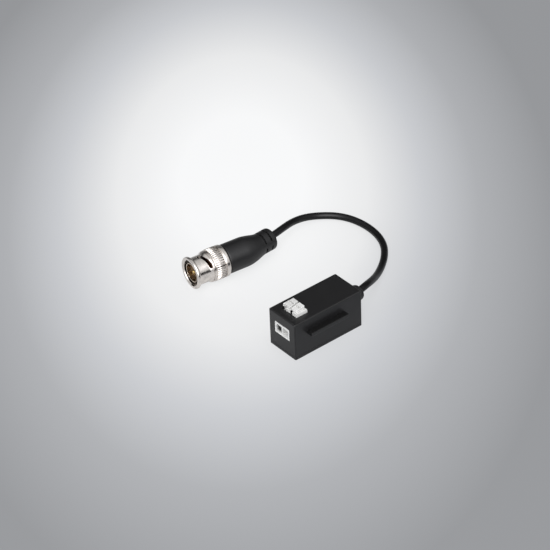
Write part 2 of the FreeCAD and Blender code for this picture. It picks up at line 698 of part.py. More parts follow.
def gland_axis():
    """Where the cord crosses the back wall, and its direction outwards."""
    lean = math.radians(GLAND_LEAN)
    return V(0, BACK, GLAND_HEIGHT), V(-math.sin(lean), math.cos(lean), 0)


def cord_end_inside():
    """The jacket's end inside the box."""
    place, way = gland_axis()
    return place - way * ((WALL + CORD_INSIDE) / way.y)


def strain_relief():
    """A grommet in the back wall with a leaning, tapered sleeve outside."""
    place, way = gland_axis()
    neck_end = BACK + FIT
    straight = turned([(INNER_BACK - FIT - GLAND_FLANGE_THICKNESS, 0),
                       (INNER_BACK - FIT - GLAND_FLANGE_THICKNESS, GLAND_FLANGE),
                       (INNER_BACK - FIT, GLAND_FLANGE), (INNER_BACK - FIT, GLAND_HOLE - FIT),
                       (neck_end, GLAND_HOLE - FIT), (neck_end, GLAND_COLLAR),
                       (neck_end + GLAND_COLLAR_THICKNESS, GLAND_COLLAR, GLAND_ROUND),
                       (neck_end + GLAND_COLLAR_THICKNESS, 0)])
    straight.translate(V(0, 0, GLAND_HEIGHT))
    length = GLAND_REACH / way.y
    root = GLAND_COLLAR - GLAND_ROUND
    sleeve = turned([(-WALL, 0), (-WALL, root), (length, GLAND_TIP, GLAND_TIP_ROUND),
                     (length, 0)])
    sleeve.rotate(V(0, 0, 0), V(0, 0, 1), GLAND_LEAN)
    sleeve.translate(place)
    sleeve = sleeve.cut(centred(BOX_WIDTH, (0, neck_end), (0, BOX_HEIGHT)))
    return straight.fuse(sleeve).cut(cord()).removeSplitter()


def cord_points():
    """The whole route: from inside the boot, over the floor and through the strain relief."""
    frame = plug_placement()
    start = frame.multVec(V(0, CORD_START, 0))
    corner = BOOT_STRAIGHT_END + BEND_RADIUS * math.tan(math.radians(BOOT_BEND / 2))
    turn = frame.multVec(V(0, corner, 0))
    place, way = gland_axis()
    gland_tip = place + way * (GLAND_REACH / way.y)
    return [start, turn] + [V(*p) for p in CORD_ROUTE] + [gland_tip, cord_end_inside()]


def cord_radii(points):
    """Each arc as large as its two runs allow."""
    radii = []
    for before, corner, after in zip(points, points[1:], points[2:]):
        runs = (corner - before).Length, (after - corner).Length
        turn = (corner - before).getAngle(after - corner)
        radii.append(0.45 * min(runs) / math.tan(turn / 2))
    return radii


def cord():
    """The coaxial cord's jacket."""
    points = cord_points()
    return tube(points, cord_radii(points), CORD_RADIUS)


def lead(points, radius):
    """A wire of straight runs with sharp corners."""
    runs = []
    for first, last in zip(points, points[1:]):
        way = last - first
        runs.append(Part.makeCylinder(radius, way.Length, first, way))
    return runs[0].fuse(runs[1:]).removeSplitter()


def cord_core():
    """The stripped inner conductor with its insulation, bent down to the board."""
    end = cord_end_inside()
    _, way = gland_axis()
    sheath = Part.makeCylinder(CORD_CORE_RADIUS, SHEATH_LENGTH, end, way * -1)
    corner = end - way * (FREE_LENGTH * CONDUCTOR_SHARE)
    wire = lead([end, corner, V(corner.x, corner.y, BOARD_TOP)], CONDUCTOR_RADIUS)
    return sheath.fuse(wire).removeSplitter()


def cord_braid():
    """The braid, twisted into a tail beside the core and bent down to the board."""
    _, way = gland_axis()
    aside = V(-way.y, way.x, 0) * (CORD_CORE_RADIUS + BRAID_RADIUS + FIT)
    start = cord_end_inside() + aside - way * FIT
    corner = start - way * (FREE_LENGTH * BRAID_SHARE)
    return lead([start, corner, V(corner.x, corner.y, BOARD_TOP)], BRAID_RADIUS)


def coupling_sleeve():
    """The turning bayonet sleeve: rim, slit neck, shoulder, knurled band and back rim."""
    outline = [(0, SLEEVE_BORE + SLEEVE_MOUTH), (0, RIM_RADIUS, RIM_ROUND),
               (RIM_LENGTH, RIM_RADIUS, RIM_ROUND),
               (RIM_LENGTH + 0.25, NECK_RADIUS), (NECK_END - 0.5, NECK_RADIUS),
               (NECK_END, NECK_RADIUS + 0.15), (SHOULDER_END - 0.25, SHOULDER_RADIUS),
               (SHOULDER_END, SHOULDER_RADIUS), (SHOULDER_END, GROOVE_RADIUS),
               (SHOULDER_END + 0.2, GROOVE_RADIUS), (SHOULDER_END + 0.2, BEAD_RADIUS),
               (BEAD_END, BEAD_RADIUS), (BEAD_END, GROOVE_RADIUS), (KNURL_START, GROOVE_RADIUS),
               (KNURL_START, KNURL_ROOT), (KNURL_END, KNURL_ROOT), (KNURL_END, GROOVE_RADIUS),
               (BACK_RIM_START, GROOVE_RADIUS),
               (BACK_RIM_START, RIM_RADIUS, BACK_RIM_ROUND),
               (SLEEVE_LENGTH, RIM_RADIUS, RIM_ROUND), (SLEEVE_LENGTH, BODY_NECK + RUNNING),
               (SLEEVE_FLOOR_START, BODY_NECK + RUNNING), (SLEEVE_FLOOR_START, SLEEVE_BORE),
               (SLEEVE_MOUTH, SLEEVE_BORE)]
    sleeve = turned(outline).fuse(knurled_band())
    for half in (0, 180):
        sleeve = sleeve.cut(bayonet_track(half))
    return sleeve.removeSplitter()


def knurled_band():
    """Straight ridges round the band."""
    corners = []
    for i in range(2 * KNURL_COUNT):
        angle = math.pi * i / KNURL_COUNT
        radius = KNURL_CREST if i % 2 == 0 else KNURL_ROOT - 0.02
        corners.append(V(radius * math.cos(angle), KNURL_START, radius * math.sin(angle)))
    star = Part.Face(Part.makePolygon(corners + corners[:1]))
    band = star.extrude(V(0, KNURL_END - KNURL_START, 0))
    return band.cut(rod(0, SLEEVE_LENGTH, KNURL_ROOT - 0.3))


def bayonet_track(half):
    """The groove inside for a stud, and the narrow slit where it breaks through the neck."""
    tools = [radial_tool(ENTRY_ANGLE + half, ENTRY_DEPTH / 2 - 0.5, SLEEVE_BORE - 1, TRACK_RADIUS,
                         TRACK_WIDTH, ENTRY_DEPTH + 1)]
    rise = LOCK_DEPTH - ENTRY_DEPTH
    sweep = LOCK_ANGLE - ENTRY_ANGLE
    step_arc = NECK_RADIUS * math.radians(sweep / TRACK_STEPS)
    lean = math.degrees(math.atan2(rise / TRACK_STEPS, step_arc))
    for i in range(TRACK_STEPS):
        share = (i + 0.5) / TRACK_STEPS
        angle = ENTRY_ANGLE + half + sweep * share
        station = ENTRY_DEPTH + rise * share
        piece = block((SLEEVE_BORE - 1, SLIT_RADIUS), (-SLIT_WIDTH / 2, SLIT_WIDTH / 2),
                      (-step_arc * 0.58, step_arc * 0.58))
        piece.rotate(V(0, 0, 0), V(1, 0, 0), lean)
        piece.rotate(V(0, 0, 0), V(0, 1, 0), angle - 180)
        piece.translate(V(0, station, 0))
        tools.append(piece)
    tools.append(radial_drill(LOCK_ANGLE + half, LOCK_DEPTH, SLEEVE_BORE - 1, SLIT_RADIUS,
                              LOCK_HOLE_RADIUS))
    return tools[0].fuse(tools[1:])


def contact_tube():
    """The sprung outer contact: a thin tube with four slots in its open end."""
    inner = TUBE_RADIUS - TUBE_WALL
    end = BODY_SHOULDER_START + TUBE_SEAT
    piece = turned([(TUBE_START, inner), (TUBE_START, TUBE_RADIUS, TUBE_WALL / 2),
                    (end, TUBE_RADIUS), (end, inner)])
    for angle in (45, 135):
        slot = block((-TUBE_RADIUS - 1, TUBE_RADIUS + 1), (0, TUBE_START + TUBE_SLOT_LENGTH),
                     (-TUBE_SLOT_WIDTH / 2, TUBE_SLOT_WIDTH / 2))
        slot.rotate(V(0, 0, 0), V(0, 1, 0), angle)
        piece = piece.cut(slot)
    return piece


def plug_body():
    """The turned body that holds the tube and the insulator and carries the sleeve."""
    seat = TUBE_RADIUS + FIT
    seat_end = BODY_SHOULDER_START + TUBE_SEAT + FIT
    room = TUBE_RADIUS - TUBE_WALL
    room_end = INSULATOR_END + FIT
    tail_start = BOOT_START - 0.1
    tail_end = tail_start + BODY_TAIL_LENGTH
    bore = CORD_CORE_RADIUS + FIT
    return turned([(BODY_SHOULDER_START, seat), (BODY_SHOULDER_START, BODY_SHOULDER),
                   (BODY_SHOULDER_END, BODY_SHOULDER), (BODY_SHOULDER_END, BODY_NECK),
                   (tail_start, BODY_NECK), (tail_start, BODY_TAIL), (tail_end, BODY_TAIL),
                   (tail_end, CRIMP_NECK), (CRIMP_END, CRIMP_NECK), (CRIMP_END, bore),
                   (PIN_END + 0.4, bore), (PIN_END + 0.4, 2.4), (room_end, 2.4), (room_end, room),
                   (seat_end, room), (seat_end, seat)])


def insulator():
    """The turned insulator round the pin."""
    outer = TUBE_RADIUS - TUBE_WALL - FIT
    bore = PIN_RADIUS + FIT
    nose = INSULATOR_FACE - INSULATOR_NOSE_LENGTH
    return turned([(nose, bore), (nose, INSULATOR_NOSE), (INSULATOR_FACE, INSULATOR_NOSE),
                   (INSULATOR_FACE, outer), (INSULATOR_END, outer), (INSULATOR_END, bore)])


def centre_pin():
    """The pin, round at its tip, with a collar behind the insulator."""
    collar = PIN_RADIUS + 0.5
    return turned([(PIN_TIP, 0), (PIN_TIP, PIN_RADIUS, PIN_RADIUS * 0.7),
                   (INSULATOR_END + FIT, PIN_RADIUS), (INSULATOR_END + FIT, collar),
                   (PIN_END, collar), (PIN_END, 0)])


def wave_washer():
    """A thin wavy spring ring between the body's shoulder and the thrust washer."""
    inner = BODY_NECK + FIT
    outer = BODY_SHOULDER - FIT
    middle = (BODY_SHOULDER_END + SLEEVE_FLOOR_START - WASHER_THICKNESS) / 2
    sections = []
    for i in range(WAVE_SECTIONS):
        angle = 2 * math.pi * i / WAVE_SECTIONS
        station = middle + WAVE_HEIGHT * math.cos(WAVES * angle)
        corners = []
        for radius, side in ((inner, -1), (outer, -1), (outer, 1), (inner, 1)):
            corners.append(V(radius * math.cos(angle), station + side * WAVE_THICKNESS / 2,
                             radius * math.sin(angle)))
        sections.append(Part.makePolygon(corners + corners[:1]))
    return Part.makeLoft(sections, True, False, True)


def crimp_ferrule():
    """The ferrule that clamps the braid on the body's neck."""
    start = BOOT_START - 0.1 + BODY_TAIL_LENGTH + FIT
    return ring(start, CORD_START, FERRULE_RADIUS - FERRULE_WALL, FERRULE_RADIUS)


def boot_solid():
    """The boot's outside: a cylinder, a bent taper and a collar slit above and below."""
    barrel = turned([(BOOT_START, 0), (BOOT_START, BOOT_RADIUS, BOOT_START_ROUND),
                     (BOOT_STRAIGHT_END, BOOT_RADIUS), (BOOT_STRAIGHT_END, 0)])
    circles = []
    for share in (0, 1 / 3, 2 / 3, 1):
        centre, way = bend_point(BOOT_BEND * share)
        radius = BOOT_RADIUS + (BOOT_COLLAR - BOOT_RADIUS) * share
        circles.append(Part.Wire([Part.Circle(centre, way, radius).toShape()]))
    taper = Part.makeLoft(circles, True, True)

    collar = turned([(-PLAY, 0), (-PLAY, BOOT_COLLAR),
                     (BOOT_COLLAR_LENGTH, BOOT_COLLAR, BOOT_END_ROUND), (BOOT_COLLAR_LENGTH, 0)])
    slots = [ring(place, place + BOOT_SLOT_WIDTH, BOOT_COLLAR - BOOT_SLOT_DEPTH, BOOT_RADIUS)
             for place in BOOT_SLOT_PLACES]
    web = centred(2 * BOOT_RADIUS, (0, BOOT_COLLAR_LENGTH), (-BOOT_WEB / 2, BOOT_WEB / 2))
    collar = collar.cut(slots[0].fuse(slots[1:]).cut(web))
    centre, _ = bend_point(BOOT_BEND)
    collar.rotate(V(0, 0, 0), V(0, 0, 1), BOOT_BEND)
    collar.translate(centre)
    return barrel.fuse([taper, collar])


def plug_boot():
    """The boot, moulded over the body's tail, the ferrule and the cord."""
    tail_end = BOOT_START - 0.1 + BODY_TAIL_LENGTH + FIT
    room = rod(BOOT_START - 1, tail_end, BODY_TAIL + FIT)
    ferrule_room = rod(tail_end - 0.1, CORD_START + FIT, FERRULE_RADIUS + FIT)
    boot = boot_solid().cut(room.fuse(ferrule_room))
    return in_plug(boot).cut(cord()).removeSplitter()


def pieces():
    """Every node's name and shape."""
    made = {
        "housing_shell": housing_shell(),
        "bottom_cover": bottom_cover(),
        "circuit_board": circuit_board(),
        "terminal_body": terminal_body(),
        "solder_joints": solder_joints(),
        "transformer_core": transformer_core(),
        "winding_line_side": winding(WINDING_STARTS[0]),
        "winding_coax_side": winding(WINDING_STARTS[1]),
        "surge_diode": surge_diode(),
        "chip_resistors": chips(resistor_places(), RESISTOR_SIZE),
        "chip_capacitor": chips([0], CAPACITOR_SIZE),
        "strain_relief": strain_relief(),
        "cord": cord(),
        "cord_core": cord_core(),
        "cord_braid": cord_braid(),
        "plug_boot": plug_boot(),
        "coupling_sleeve": in_plug(coupling_sleeve()),
        "contact_tube": in_plug(contact_tube()),
        "plug_body": in_plug(plug_body()),
        "insulator": in_plug(insulator()),
        "centre_pin": in_plug(centre_pin()),
        "gasket": in_plug(ring(BODY_SHOULDER_START - GASKET_LENGTH - FIT, BODY_SHOULDER_START - FIT,
                               TUBE_RADIUS + FIT, BODY_SHOULDER)),
        "wave_washer": in_plug(wave_washer()),
        "thrust_washer": in_plug(ring(SLEEVE_FLOOR_START - FIT - WASHER_THICKNESS,
                                      SLEEVE_FLOOR_START - FIT,
                                      BODY_NECK + RUNNING / 2, BODY_SHOULDER)),
        "crimp_ferrule": in_plug(crimp_ferrule()),
        "plug_core": in_plug(rod(PIN_END + FIT, CORD_START, CORD_CORE_RADIUS)),
    }
    for side, x in zip(("left", "right"), POLE_PLACES):
        made["release_button_" + side] = release_button(x)
        made["clamp_spring_" + side] = clamp_spring(x)
        made["contact_" + side] = contact(x)
    return made


def main():
    os.makedirs("parts", exist_ok=True)
    for name, shape in pieces().items():
        shape.exportStep("parts/" + name + ".step")
        print(name, "valid" if shape.isValid() else "NOT VALID", len(shape.Solids), "solids",
              round(shape.Volume, 2), "mm3")
    points = cord_points()
    radii = cord_radii(points)
    path = bent_path(points, radii)
    section = math.pi * CORD_RADIUS ** 2
    print("cord radii", [round(r, 1) for r in radii])
    print("cord length", round(path.Length, 1), "volume over section times length",
          round(cord().Volume / (section * path.Length), 4))


main()
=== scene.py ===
import json
import math

import bmesh
import bpy
from bpy.props import FloatProperty, FloatVectorProperty, IntProperty, PointerProperty
from mathutils import Matrix, Vector


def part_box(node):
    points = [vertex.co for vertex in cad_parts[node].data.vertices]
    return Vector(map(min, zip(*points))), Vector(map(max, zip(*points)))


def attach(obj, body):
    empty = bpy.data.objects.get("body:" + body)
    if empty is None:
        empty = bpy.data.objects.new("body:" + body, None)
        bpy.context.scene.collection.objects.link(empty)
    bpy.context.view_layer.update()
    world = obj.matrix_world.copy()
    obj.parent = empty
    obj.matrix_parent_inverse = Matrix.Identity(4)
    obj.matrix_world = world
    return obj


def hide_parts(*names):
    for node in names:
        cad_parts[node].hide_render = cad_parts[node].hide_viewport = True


bl_info = {
    "name": "Video Balun",
    "version": (1, 0, 0),
    "blender": (4, 5, 0),
    "location": "3D View > Sidebar > Balun",
    "description": "Dresses a passive video balun with a push-in terminal and a bayonet plug",
    "category": "Add Mesh",
}

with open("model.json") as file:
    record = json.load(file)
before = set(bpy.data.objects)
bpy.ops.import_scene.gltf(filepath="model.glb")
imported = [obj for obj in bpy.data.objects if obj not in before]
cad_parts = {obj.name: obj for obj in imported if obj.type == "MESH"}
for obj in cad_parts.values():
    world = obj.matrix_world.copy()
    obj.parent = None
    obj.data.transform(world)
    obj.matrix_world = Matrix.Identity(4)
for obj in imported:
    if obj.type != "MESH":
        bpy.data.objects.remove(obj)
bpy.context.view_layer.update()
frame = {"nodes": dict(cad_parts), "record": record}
NODES = frame["nodes"]
MM = 0.001


# Places in the row frame, in millimetres

BOX_SIDE = 7.35
BOX_END = 15.9
BOX_TOP = 15.7
COVER_TOP = 1.2
ROOF_UNDERSIDE = 14.4
POLES = (("left", -1.75), ("right", 1.75))
ENTRY_HEIGHT = 9.4
PLUG_PLACE = Vector((-53.7, -16.7, 6.4))
PLUG_TURN = math.radians(83.7 - 90.0)
PLUG_FRAME = Matrix.Translation(PLUG_PLACE) @ Matrix.Rotation(PLUG_TURN, 4, "Z")
GLAND_HEIGHT = 7.85
GLAND_LEAN = math.radians(11.0)
BOOT_BEND_START = 24.6
BOOT_BEND = math.radians(9.5)
BOOT_BEND_RADIUS = 6.6 / BOOT_BEND
BOOT_COLLAR = 31.2
BOOT_RADIUS = 5.9
COLLAR_RADIUS = 4.4
BOOT_END = 37.2
SLIT_PLACES = (0.1, 3.0)
SLIT_WIDTH = 0.75
SLIT_FLOOR = 3.1
SLIT_TURN = math.radians(-13)
TERMINAL_SIDE = 4.0
TERMINAL_TOP = 16.9
BUTTON_FRONT = -11.68
BUTTON_BACK = -7.67
BUTTON_SIDE = 1.475
KNURL_MIDDLE = 10.5
KNURL_RING = 6.14
NECK_RADIUS = 5.5
CORD_HOLE = 1.36
CONTACT_RADIUS = 4.05

# The camera, solved on the box's edges, and the middle of the floor's painted pool of light
CAMERA_PLACE = Vector((529.97, -431.08, 526.55))
CAMERA_TURN = math.radians(52.07)
CAMERA_RISE = math.radians(36.16)
CAMERA_ROLL = -0.0427
CAMERA_LENS = 153.5
FLOOR_MIDDLE = (-0.096, 0.042, 0.0)
FLOOR_OVAL = (0.125, 0.25, 1.0)

# The cord's route, from the jacket's end inside the box to its end inside the boot
CORD_ROUTE = (
    (0.603, 12.8, 7.85),
    (-1.069, 21.4, 7.85),
    (-2.6, 26.6, 7.5),
    (-5.2, 31.6, 5.6),
    (-8.7, 37.0, 3.2),
    (-12.8, 43.0, 1.7),
    (-17.5, 49.0, 1.4),
    (-23.2, 54.0, 1.4),
    (-30.0, 56.9, 1.4),
    (-37.5, 57.8, 1.4),
    (-45.1, 56.7, 1.4),
    (-51.0, 53.7, 1.4),
    (-55.2, 48.6, 1.7),
    (-57.0, 42.3, 2.9),
    (-56.1, 35.2, 4.5),
    (-53.7, 28.9, 5.9),
    (-52.0, 22.8, 6.4),
    (-50.638, 11.037, 6.4),
    (-51.066, 7.155, 6.4),
)


def length_setting(name, description, default, low, high):
    return FloatProperty(name=name, description=description, default=default,
                         min=low, max=high, unit="LENGTH")


def count_setting(name, description, default, low, high):
    return IntProperty(name=name, description=description, default=default, min=low, max=high)


def colour_setting(name, description, default):
    return FloatVectorProperty(name=name, description=description, subtype="COLOR",
                               size=3, min=0.0, max=1.0, default=default)


class BalunSizes(bpy.types.PropertyGroup):
    edge: length_setting("Box edge", "Radius of the box's outer edges", 0.0005, 0.0001, 0.001)
    small_edge: length_setting("Small edge", "Width of the small softened edges",
                               0.00008, 0.00001, 0.0003)
    parting: length_setting("Parting line", "Gap between the box's two mouldings",
                            0.00008, 0.0, 0.0003)
    entry: length_setting("Wire entry", "Width of a wire entry at the face",
                          0.0030, 0.002, 0.0033)
    cord_diameter: length_setting("Cord", "Diameter of the cord's jacket",
                                  0.0028, 0.002, 0.004)
    cord_length: length_setting("Cord length", "Length of the cord's jacket from end to end",
                                0.1277, 0.05, 0.3)
    ribs: count_setting("Knurl ribs", "Ribs round the sleeve's grip", 44, 12, 80)
    turns: count_setting("Turns", "Turns in each winding", 5, 2, 8)
    round_steps: count_setting("Round steps", "Faces round a turned piece", 144, 24, 256)


class BalunColours(bpy.types.PropertyGroup):
    box: colour_setting("Box", "Colour of the box's plastic", (0.0075, 0.0075, 0.008))
    rubber: colour_setting("Cord and boot", "Colour of the soft mouldings",
                           (0.0030, 0.0030, 0.0036))
    terminal: colour_setting("Terminal", "Colour of the terminal block", (0.84, 0.84, 0.825))
    nickel: colour_setting("Nickel", "Colour of the plated plug", (0.83, 0.785, 0.745))
    inner_metal: colour_setting("Inner contact", "Colour of the plug's sprung contact",
                                (0.78, 0.67, 0.55))
    floor: colour_setting("Floor", "Colour of the studio floor", (0.86, 0.865, 0.87))


# Meshes

def new_object(name, bm, metal=None):
    """A new object from a bmesh made in millimetres."""
    bmesh.ops.scale(bm, vec=(MM, MM, MM), verts=bm.verts)
    mesh = bpy.data.meshes.new(name)
    bm.to_mesh(mesh)
    bm.free()
    obj = bpy.data.objects.new(name, mesh)
    bpy.context.scene.collection.objects.link(obj)
    if metal is not None:
        mesh.materials.append(metal)
    return obj


def slab_mesh(bm, x, y, z, edge=0.0, chosen=None, steps=4):
    """A box between two values along each axis, with some of its edges rounded."""
    made = bmesh.ops.create_cube(bm, size=1.0)["verts"]
    centre = Vector(((x[0] + x[1]) / 2, (y[0] + y[1]) / 2, (z[0] + z[1]) / 2))
    size = Vector((x[1] - x[0], y[1] - y[0], z[1] - z[0]))
    for vert in made:
        vert.co = Vector([vert.co[i] * size[i] + centre[i] for i in range(3)])
    if edge > 0:
        edges = {e for v in made for e in v.link_edges}
        picked = [e for e in edges if chosen is None or chosen(*[v.co for v in e.verts])]
        bmesh.ops.bevel(bm, geom=picked, offset=edge, segments=steps, profile=0.5, affect="EDGES")


def slab(name, x, y, z, edge=0.0, chosen=None, steps=4):
    bm = bmesh.new()
    slab_mesh(bm, x, y, z, edge, chosen, steps)
    return new_object(name, bm)


def closed_between(bm, lower, upper):
    """Closes two equal loops of points into a solid."""
    bm.faces.new(lower)
    bm.faces.new(list(reversed(upper)))
    for i in range(len(lower)):
        j = (i + 1) % len(lower)
        bm.faces.new((lower[j], lower[i], upper[i], upper[j]))
    bmesh.ops.recalc_face_normals(bm, faces=bm.faces)


def extruded(name, outline, x):
    """A prism along X from (y, z) points."""
    bm = bmesh.new()
    lower, upper = [[bm.verts.new((place, *point)) for point in outline] for place in x]
    closed_between(bm, lower, upper)
    return new_object(name, bm)


def frustum(name, x, y, z, half_from, half_to):
    """A square funnel along Y."""
    bm = bmesh.new()
    rings = []
    for place, half in zip(y, (half_from, half_to)):
        corners = ((-half, -half), (half, -half), (half, half), (-half, half))
        rings.append([bm.verts.new((x + a, place, z + b)) for a, b in corners])
    closed_between(bm, *rings)
    return new_object(name, bm)


def eased(outline, closed=True, steps=5):
    """Rounds the corners of an outline of (station, radius, rounding) points."""
    out = []
    count = len(outline)
    for i, (station, radius, rounding) in enumerate(outline):
        here = Vector((station, radius))
        if rounding <= 0 or (not closed and i in (0, count - 1)):
            out.append(here)
            continue
        before = Vector(outline[i - 1][:2]) - here
        after = Vector(outline[(i + 1) % count][:2]) - here
        reach = min(rounding, before.length * 0.48, after.length * 0.48)
        first = here + before.normalized() * reach
        last = here + after.normalized() * reach
        for step in range(steps + 1):
            t = step / steps
            out.append(first * (1 - t) ** 2 + here * 2 * t * (1 - t) + last * t ** 2)
    return out


def skinned(bm, rings, around, closed=True):
    """Joins rings of points; a ring of one point is a pole."""
    pairs = list(zip(rings, rings[1:]))
    if closed:
        pairs.append((rings[-1], rings[0]))
    for first, second in pairs:
        for i in range(around):
            j = (i + 1) % around
            if len(first) == 1 and len(second) == 1:
                continue
            if len(first) == 1:
                bm.faces.new((first[0], second[j], second[i]))
            elif len(second) == 1:
                bm.faces.new((first[i], first[j], second[0]))
            else:
                bm.faces.new((first[i], first[j], second[j], second[i]))
    bmesh.ops.recalc_face_normals(bm, faces=bm.faces)


def lathe_mesh(bm, outline, around, closed=True):
    """Turns an outline about Y; a point on the axis becomes a pole."""
    rings = []
    for point in outline:
        station, radius = point[0], point[1]
        if radius < 1e-6:
            rings.append([bm.verts.new((0, station, 0))])
            continue
        ring = []
        for i in range(around):
            angle = 2 * math.pi * i / around
            ring.append(bm.verts.new((radius * math.cos(angle), station, radius * math.sin(angle))))
        rings.append(ring)
    skinned(bm, rings, around, closed)


def lathe(name, outline, around, closed=True):
    bm = bmesh.new()
    lathe_mesh(bm, outline, around, closed)
    return new_object(name, bm)


def baked(obj):
    """Turns an object's modifiers into its mesh."""
    graph = bpy.context.evaluated_depsgraph_get()
    done = bpy.data.meshes.new_from_object(
        obj.evaluated_get(graph), preserve_all_data_layers=True, depsgraph=graph)
    obj.modifiers.clear()
    old = obj.data
    obj.data = done
    bpy.data.meshes.remove(old)
    return obj


def combined(obj, others, operation="DIFFERENCE"):
    """Cuts the others from an object, or joins them to it as one solid."""
    for other in others:
        step = obj.modifiers.new("Cut", "BOOLEAN")
        step.operation = operation
        step.solver = "EXACT"
        step.object = other
    baked(obj)
    for other in others:
        bpy.data.objects.remove(other)
    return obj


def dressed(obj, finish, edge=0.0, angle=32.0, steps=2):
    """Softens sharp edges, evens the normals and gives the finish."""
    for polygon in obj.data.polygons:
        polygon.use_smooth = True
    if edge > 0:
        bevel = obj.modifiers.new("Edge", "BEVEL")
        bevel.width = edge
        bevel.segments = steps
        bevel.limit_method = "ANGLE"
        bevel.angle_limit = math.radians(angle)
        bevel.use_clamp_overlap = True
        obj.data.set_sharp_from_angle(angle=math.radians(180))
    else:
        obj.data.set_sharp_from_angle(angle=math.radians(angle))
    even = obj.modifiers.new("Even", "WEIGHTED_NORMAL")
    even.keep_sharp = True
    baked(obj)
    obj.data.materials.clear()
    obj.data.materials.append(finish)
    return obj


def placed(obj, matrix):
    """Moves an object's mesh; the matrix is in millimetres."""
    move = Matrix.Scale(MM, 4) @ matrix @ Matrix.Scale(1 / MM, 4)
    obj.data.transform(move)
    obj.data.update()
    return obj


def carried(obj, body, slot, *nodes):
    """The piece rides on its body and stands for its nodes."""
    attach(obj, body)
    if nodes:
        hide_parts(*nodes)
    return obj


# Materials

class Wire:
    """A socket that can be used in sums."""

    def __init__(self, sheet, socket):
        self.sheet = sheet
        self.socket = socket

    def _sum(self, operation, first, second):
        return self.sheet.node("ShaderNodeMath", {"operation": operation}, {0: first, 1: second})

    def __add__(self, other):
        return self._sum("ADD", self, other)

    __radd__ = __add__

    def __sub__(self, other):
        return self._sum("SUBTRACT", self, other)

    def __rsub__(self, other):
        return self._sum("SUBTRACT", other, self)

    def __mul__(self, other):
        return self._sum("MULTIPLY", self, other)

    __rmul__ = __mul__

    def __truediv__(self, other):
        return self._sum("DIVIDE", self, other)


class Sheet:
    """The nodes of one material or of the world."""

    def __init__(self, owner):
        owner.use_nodes = True
        self.tree = owner.node_tree
        self.tree.nodes.clear()

    def node(self, kind, settings=None, inputs=None, output=0):
        made = self.tree.nodes.new(kind)
        for name, value in (settings or {}).items():
            if name == "stops":
                self._stops(made.color_ramp, value)
            else:
                setattr(made, name, value)
        for key, value in (inputs or {}).items():
            if isinstance(value, Wire):
                self.tree.links.new(value.socket, made.inputs[key])
            else:
                made.inputs[key].default_value = value
        return Wire(self, made.outputs[output]) if made.outputs else None

    def _stops(self, ramp, stops):
        while len(ramp.elements) < len(stops):
            ramp.elements.new(0.5)
        for element, (place, colour) in zip(ramp.elements, stops):
            element.position = place
            element.color = (*colour, 1.0)

    def object_place(self, scale=1.0, place=(0, 0, 0), turn=0.0):
        """Object coordinates, seen from a frame at that place and turn."""
        coordinates = self.node("ShaderNodeTexCoord", output=3)
        inputs = {"Vector": coordinates, "Location": place, "Rotation": (0, 0, turn),
                  "Scale": (1 / scale, 1 / scale, 1 / scale)}
        return self.node("ShaderNodeMapping", {"vector_type": "TEXTURE"}, inputs)

    def noise(self, vector, scale, detail=2.0, roughness=0.5):
        return self.node("ShaderNodeTexNoise", {"noise_dimensions": "3D"},
                         {"Vector": vector, "Scale": scale, "Detail": detail,
                          "Roughness": roughness})

    def axes(self, vector):
        """The three parts of a vector."""
        parts = self.tree.nodes.new("ShaderNodeSeparateXYZ")
        self.tree.links.new(vector.socket, parts.inputs[0])
        return [Wire(self, output) for output in parts.outputs]

    def slopes(self, spans):
        """A product of slopes, each 0 at its value's first place and 1 at its last."""
        share = 1.0
        for value, start, end in spans:
            share = share * self.node("ShaderNodeMapRange", {"clamp": True},
                                      {0: value, 1: start, 2: end, 3: 0.0, 4: 1.0})
        return share

    def within(self, low, high, soft):
        """1 inside a box in millimetres, falling to 0 over the soft distance outside it."""
        spans = []
        for part, first, last in zip(self.axes(self.object_place()), low, high):
            place = part / MM
            spans += [(place, first - soft, first), (place, last + soft, last)]
        return self.slopes(spans)

    def core(self, place, turn, radius, soft, stations):
        """1 near an axis along Y, in millimetres, between two stations of a turned frame."""
        seen = self.object_place(1.0, tuple(place * MM), turn)
        x, y, z = (part / MM for part in self.axes(seen))
        away = self.node("ShaderNodeMath", {"operation": "SQRT"}, {0: x * x + z * z})
        first, last = stations
        return self.slopes(((away, radius, radius - soft), (y, first, first + 0.1),
                            (y, last, last - 0.1)))

    def ramp(self, value, stops):
        return self.node("ShaderNodeValToRGB", {"stops": stops}, {0: value})

    def blend(self, share, first, second):
        """Mixes two colours."""
        def rgba(value):
            return value if isinstance(value, Wire) else (*value[:3], 1.0)
        return self.node("ShaderNodeMix", {"data_type": "RGBA"},
                         {0: share, 6: rgba(first), 7: rgba(second)}, output=2)

    def bump(self, height, distance, strength=1.0, normal=None):
        inputs = {"Height": height, "Distance": distance, "Strength": strength}
        if normal is not None:
            inputs["Normal"] = normal
        return self.node("ShaderNodeBump", None, inputs)

    def surface(self, **values):
        """A principled surface; sockets are named with underscores for spaces."""
        inputs = {}
        for key, value in values.items():
            if isinstance(value, tuple) and len(value) == 3:
                value = (*value, 1.0)
            inputs[key.replace("_", " ")] = value
        shader = self.node("ShaderNodeBsdfPrincipled", None, inputs)
        self.node("ShaderNodeOutputMaterial", None, {"Surface": shader})


def finish_named(name):
    """A new material and its nodes."""
    material = bpy.data.materials.new(name)
    return material, Sheet(material)


def scaled(colour, factor):
    return tuple(min(1.0, c * factor) for c in colour)


# Colours of painted shade: near-black for recesses, faces and slits, and a dark brown for the contact tube
# seen through the sleeve's slits
PAINTED_SHADE_COLOUR = (0.003, 0.003, 0.003)
SLIT_SHADE_COLOUR = (0.001, 0.001, 0.001)
TUBE_SHADE_COLOUR = (0.035, 0.018, 0.010)


